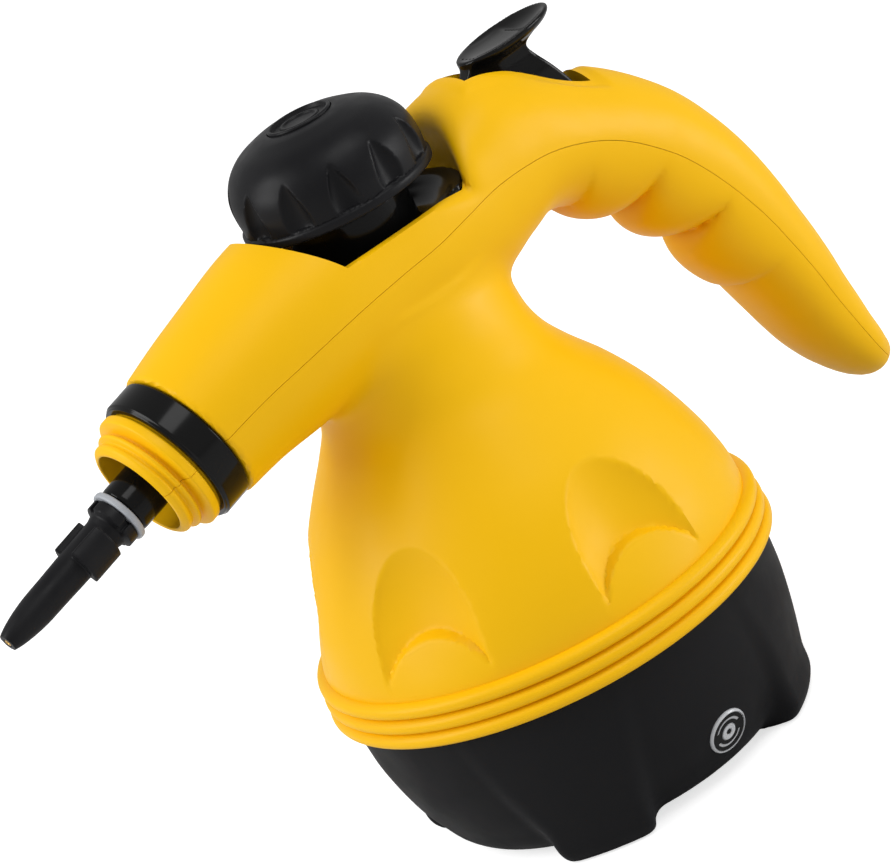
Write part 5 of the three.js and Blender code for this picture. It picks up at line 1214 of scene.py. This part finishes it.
trigger_pin = lathe("trigger_pin_rod", soften(
    box_outline(0, PIN_RADIUS, -PIN_HALF, PIN_HALF), EDGE, False), 32, pin_turn)
dress(smooth(trigger_pin), "trigger_hinge_pin", plain_steel, "housing", ["trigger_pin"])

# Hexagon bolts through the boiler's flange
BOLT_CIRCLE, BOLT_COUNT, BOLT_HEAD, BOLT_HEAD_HEIGHT, BOLT_SHANK = 46.0, 6, 2.6, 2.2, 1.5
bolt_foot, bolt_top = (corner.z / MM - POT_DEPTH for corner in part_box("boiler_bolt_1"))
bolt_seat = bolt_top - BOLT_HEAD_HEIGHT
bolt = lathe("bolt", [
    (0, bolt_seat), (2.45, bolt_seat), (BOLT_HEAD, bolt_seat + 0.25), (BOLT_HEAD, bolt_top - 0.45),
    (2.15, bolt_top), (0, bolt_top)], 6)
shank = lathe("shank", [
    (0, bolt_foot), (1.1, bolt_foot), (BOLT_SHANK, bolt_foot + 0.5), (BOLT_SHANK, bolt_seat + 0.5),
    (0, bolt_seat + 0.5)], 24)
join(bolt, shank, "UNION")
bolt_sites = ring_of_sites(BOLT_CIRCLE, [math.tau * i / BOLT_COUNT for i in range(BOLT_COUNT)])
bolts = on_each_site("bolts", bolt_sites, bolt, plain_steel)
dress(smooth(bolts), "boiler_bolt_set", plain_steel, "housing",
      [f"boiler_bolt_{i + 1}" for i in range(BOLT_COUNT)])

# Cross-head screws up into the posts, and through the two halves of the housing
SCREW_HEAD, SCREW_HEAD_HEIGHT, SCREW_POINT = 2.9, 2.0, 1.2
CROSS_HALF_LENGTH, CROSS_HALF_WIDTH, CROSS_DEPTH = 1.6, 0.35, 1.1


def cross_head_screw(node, shank_radius):
    """A screw pointing up, as tall as the node."""
    foot, top = (corner.z / MM - POT_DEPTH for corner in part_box(node))
    neck = foot + SCREW_HEAD_HEIGHT
    screw = lathe("screw", [
        (0, foot), (2.3, foot), (SCREW_HEAD, foot + 0.6), (SCREW_HEAD, neck), (shank_radius, neck),
        (shank_radius, top - SCREW_POINT), (0, top)], 32)
    axis = Vector(in_frame((0, 0, 0)))
    slot_outline = box_outline(-CROSS_HALF_LENGTH, CROSS_HALF_LENGTH, foot - 1, foot + CROSS_DEPTH)
    for turn in (0, math.pi / 2):
        blade = prism("blade", slot_outline, CROSS_HALF_WIDTH)
        blade.data.transform(
            Matrix.Translation(axis) @ Matrix.Rotation(turn, 4, "Z") @ Matrix.Translation(-axis))
        join(screw, blade, "DIFFERENCE")
    return screw


HOUSING_SCREW_SITES = [(32.0, 9.0, 0.0), (32.0, -9.0, 0.0)]
for kind, sites, shank_radius in (("base", POST_SITES, 1.5), ("housing", HOUSING_SCREW_SITES, 1.4)):
    screw = cross_head_screw(f"{kind}_screw_1", shank_radius)
    screws = on_each_site(f"{kind}_screws", sites, screw, plain_steel)
    dress(smooth(screws), f"{kind}_screw_set", plain_steel, "housing",
          [f"{kind}_screw_{i + 1}" for i in range(len(sites))])

# Springs: name, node, wire radius, turns, body, joint, and how far the joint squeezes them from
# above, or from below with a minus
SPRINGS = [
    ("valve_seat_spring", "valve_spring", 0.3, 5, "housing", "valve_slide", 3.8),
    ("trigger_return_spring", "trigger_spring", 0.3, 3, "housing", "valve_slide", 3.8),
    ("cap_push_spring", "cap_spring", 0.6, 4, "cap_plug", "cap_press", 3.0),
    ("relief_valve_spring", "relief_spring", 0.3, 5, "cap_plug", "relief_lift", -1.5)]
for row in SPRINGS:
    spring(*row)

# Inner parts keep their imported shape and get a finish
INNER_PARTS = {
    cast_aluminium: ["boiler_lower", "boiler_upper", "filler_neck"],
    red_silicone: ["boiler_gasket", "cap_seal", "relief_poppet"],
    plain_steel: ["mounting_ring", "heating_element", "valve_pin", "relief_retainer", "steam_feed_pipe",
                  "steam_delivery_pipe"],
    turned_brass: ["steam_valve"],
    white_nylon: ["thermostat", "indicator_lamp", "terminal_block"],
    silver_wrap: ["thermal_fuse"],
}
for finish, nodes in INNER_PARTS.items():
    for node in nodes:
        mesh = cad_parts[node].data
        mesh.materials.clear()
        mesh.materials.append(finish)

# Camera, floor and light

VIEW_RIGHT = Vector((0.7275, -0.5378, -0.4262))
VIEW_UP = Vector((0.5518, 0.0897, 0.8288))
VIEW_BACK = Vector((-0.4077, -0.838, 0.362))
VIEW_DISTANCE, FOCAL_PIXELS, IMAGE_WIDTH, SENSOR = 1200.0, 4068.0, 894.0, 36.0
FARTHEST_SEEN = 50.0
# How far the middle of the picture lies from the ray towards the pot's middle, in pixels
MIDDLE_RIGHT, MIDDLE_UP = -104.8, 179.5
forward = (VIEW_RIGHT * MIDDLE_RIGHT + VIEW_UP * MIDDLE_UP - VIEW_BACK * FOCAL_PIXELS).normalized()
right = (VIEW_RIGHT - VIEW_RIGHT.dot(forward) * forward).normalized()
up = right.cross(forward)
camera = bpy.data.objects.new("camera", bpy.data.cameras.new("camera"))
camera.data.sensor_width = SENSOR
camera.data.lens = FOCAL_PIXELS * SENSOR / IMAGE_WIDTH
camera.data.clip_end = FARTHEST_SEEN
camera.matrix_world = Matrix((
    (right.x, up.x, -forward.x, 0), (right.y, up.y, -forward.y, 0), (right.z, up.z, -forward.z, 0),
    (0, 0, 0, 1)))
camera.location = Vector(in_frame(VIEW_BACK * VIEW_DISTANCE))
bpy.context.scene.collection.objects.link(camera)
bpy.context.scene.camera = camera

FLOOR_SIZE = 12.0
half = FLOOR_SIZE / 2
corners = [(-half, -half, 0), (half, -half, 0), (half, half, 0), (-half, half, 0)]
floor_mesh = bpy.data.meshes.new("floor")
floor_mesh.from_pydata(corners, [], [(0, 1, 2, 3)])
floor = bpy.data.objects.new("floor", floor_mesh)
bpy.context.scene.collection.objects.link(floor)

# The floor glows towards the camera only, so that it looks white and still takes a shadow
FLOOR_COLOUR, FLOOR_GLOW = 0.7, 0.68
floor_material = bpy.data.materials.new("pale_floor")
floor_material.use_nodes = True
nodes, links = floor_material.node_tree.nodes, floor_material.node_tree.links
nodes.remove(nodes["Principled BSDF"])
paint, glow, total = (nodes.new(kind) for kind in (
    "ShaderNodeBsdfDiffuse", "ShaderNodeEmission", "ShaderNodeAddShader"))
paint.inputs["Color"].default_value = (FLOOR_COLOUR, FLOOR_COLOUR, FLOOR_COLOUR, 1)
strength = nodes.new("ShaderNodeMath")
strength.operation = "MULTIPLY"
strength.inputs[1].default_value = FLOOR_GLOW
links.new(nodes.new("ShaderNodeLightPath").outputs["Is Camera Ray"], strength.inputs[0])
links.new(strength.outputs["Value"], glow.inputs["Strength"])
links.new(paint.outputs["BSDF"], total.inputs[0])
links.new(glow.outputs["Emission"], total.inputs[1])
links.new(total.outputs["Shader"], nodes["Material Output"].inputs["Surface"])
floor_mesh.materials.append(floor_material)

# The world is white to the camera and dimmer to everything else
WORLD_LIGHT = 0.48
world = bpy.data.worlds.new("studio")
world.use_nodes = True
bpy.context.scene.world = world
nodes, links = world.node_tree.nodes, world.node_tree.links
backdrop = nodes["Background"]
backdrop.inputs["Color"].default_value = (1, 1, 1, 1)
level = nodes.new("ShaderNodeMapRange")
level.inputs["To Min"].default_value = WORLD_LIGHT
level.inputs["To Max"].default_value = 1.0
links.new(nodes.new("ShaderNodeLightPath").outputs["Is Camera Ray"], level.inputs["Value"])
links.new(level.outputs["Result"], backdrop.inputs["Strength"])

# Soft lamps: name, way from the object along the camera's right, up and back, distance, width,
# height and power
LAMPS = [
    ("side_left", (-1.0, 0.05, 0.3), 1.3, 0.7, 1.0, 11.5),
    ("side_right", (1.0, 0.4, 0.15), 1.4, 0.7, 0.9, 15.0),
    ("front_top", (0.0, 0.8, 0.6), 1.4, 0.9, 0.6, 6.0)]
MIDDLE = Vector(((cad_box[0][0] + cad_box[1][0]) / 2, 0, (cad_box[0][2] + cad_box[1][2]) / 2))
for name, (along_right, along_up, along_back), distance, wide, tall, power in LAMPS:
    way = (right * along_right + up * along_up - forward * along_back).normalized()
    lamp = bpy.data.lights.new(name, "AREA")
    lamp.shape = "RECTANGLE"
    lamp.size, lamp.size_y, lamp.energy = wide, tall, power
    holder = bpy.data.objects.new(name, lamp)
    holder.location = MIDDLE + way * distance
    holder.rotation_euler = (-way).to_track_quat("-Z", "Y").to_euler()
    bpy.context.scene.collection.objects.link(holder)

bpy.context.scene.view_settings.view_transform = "Standard"
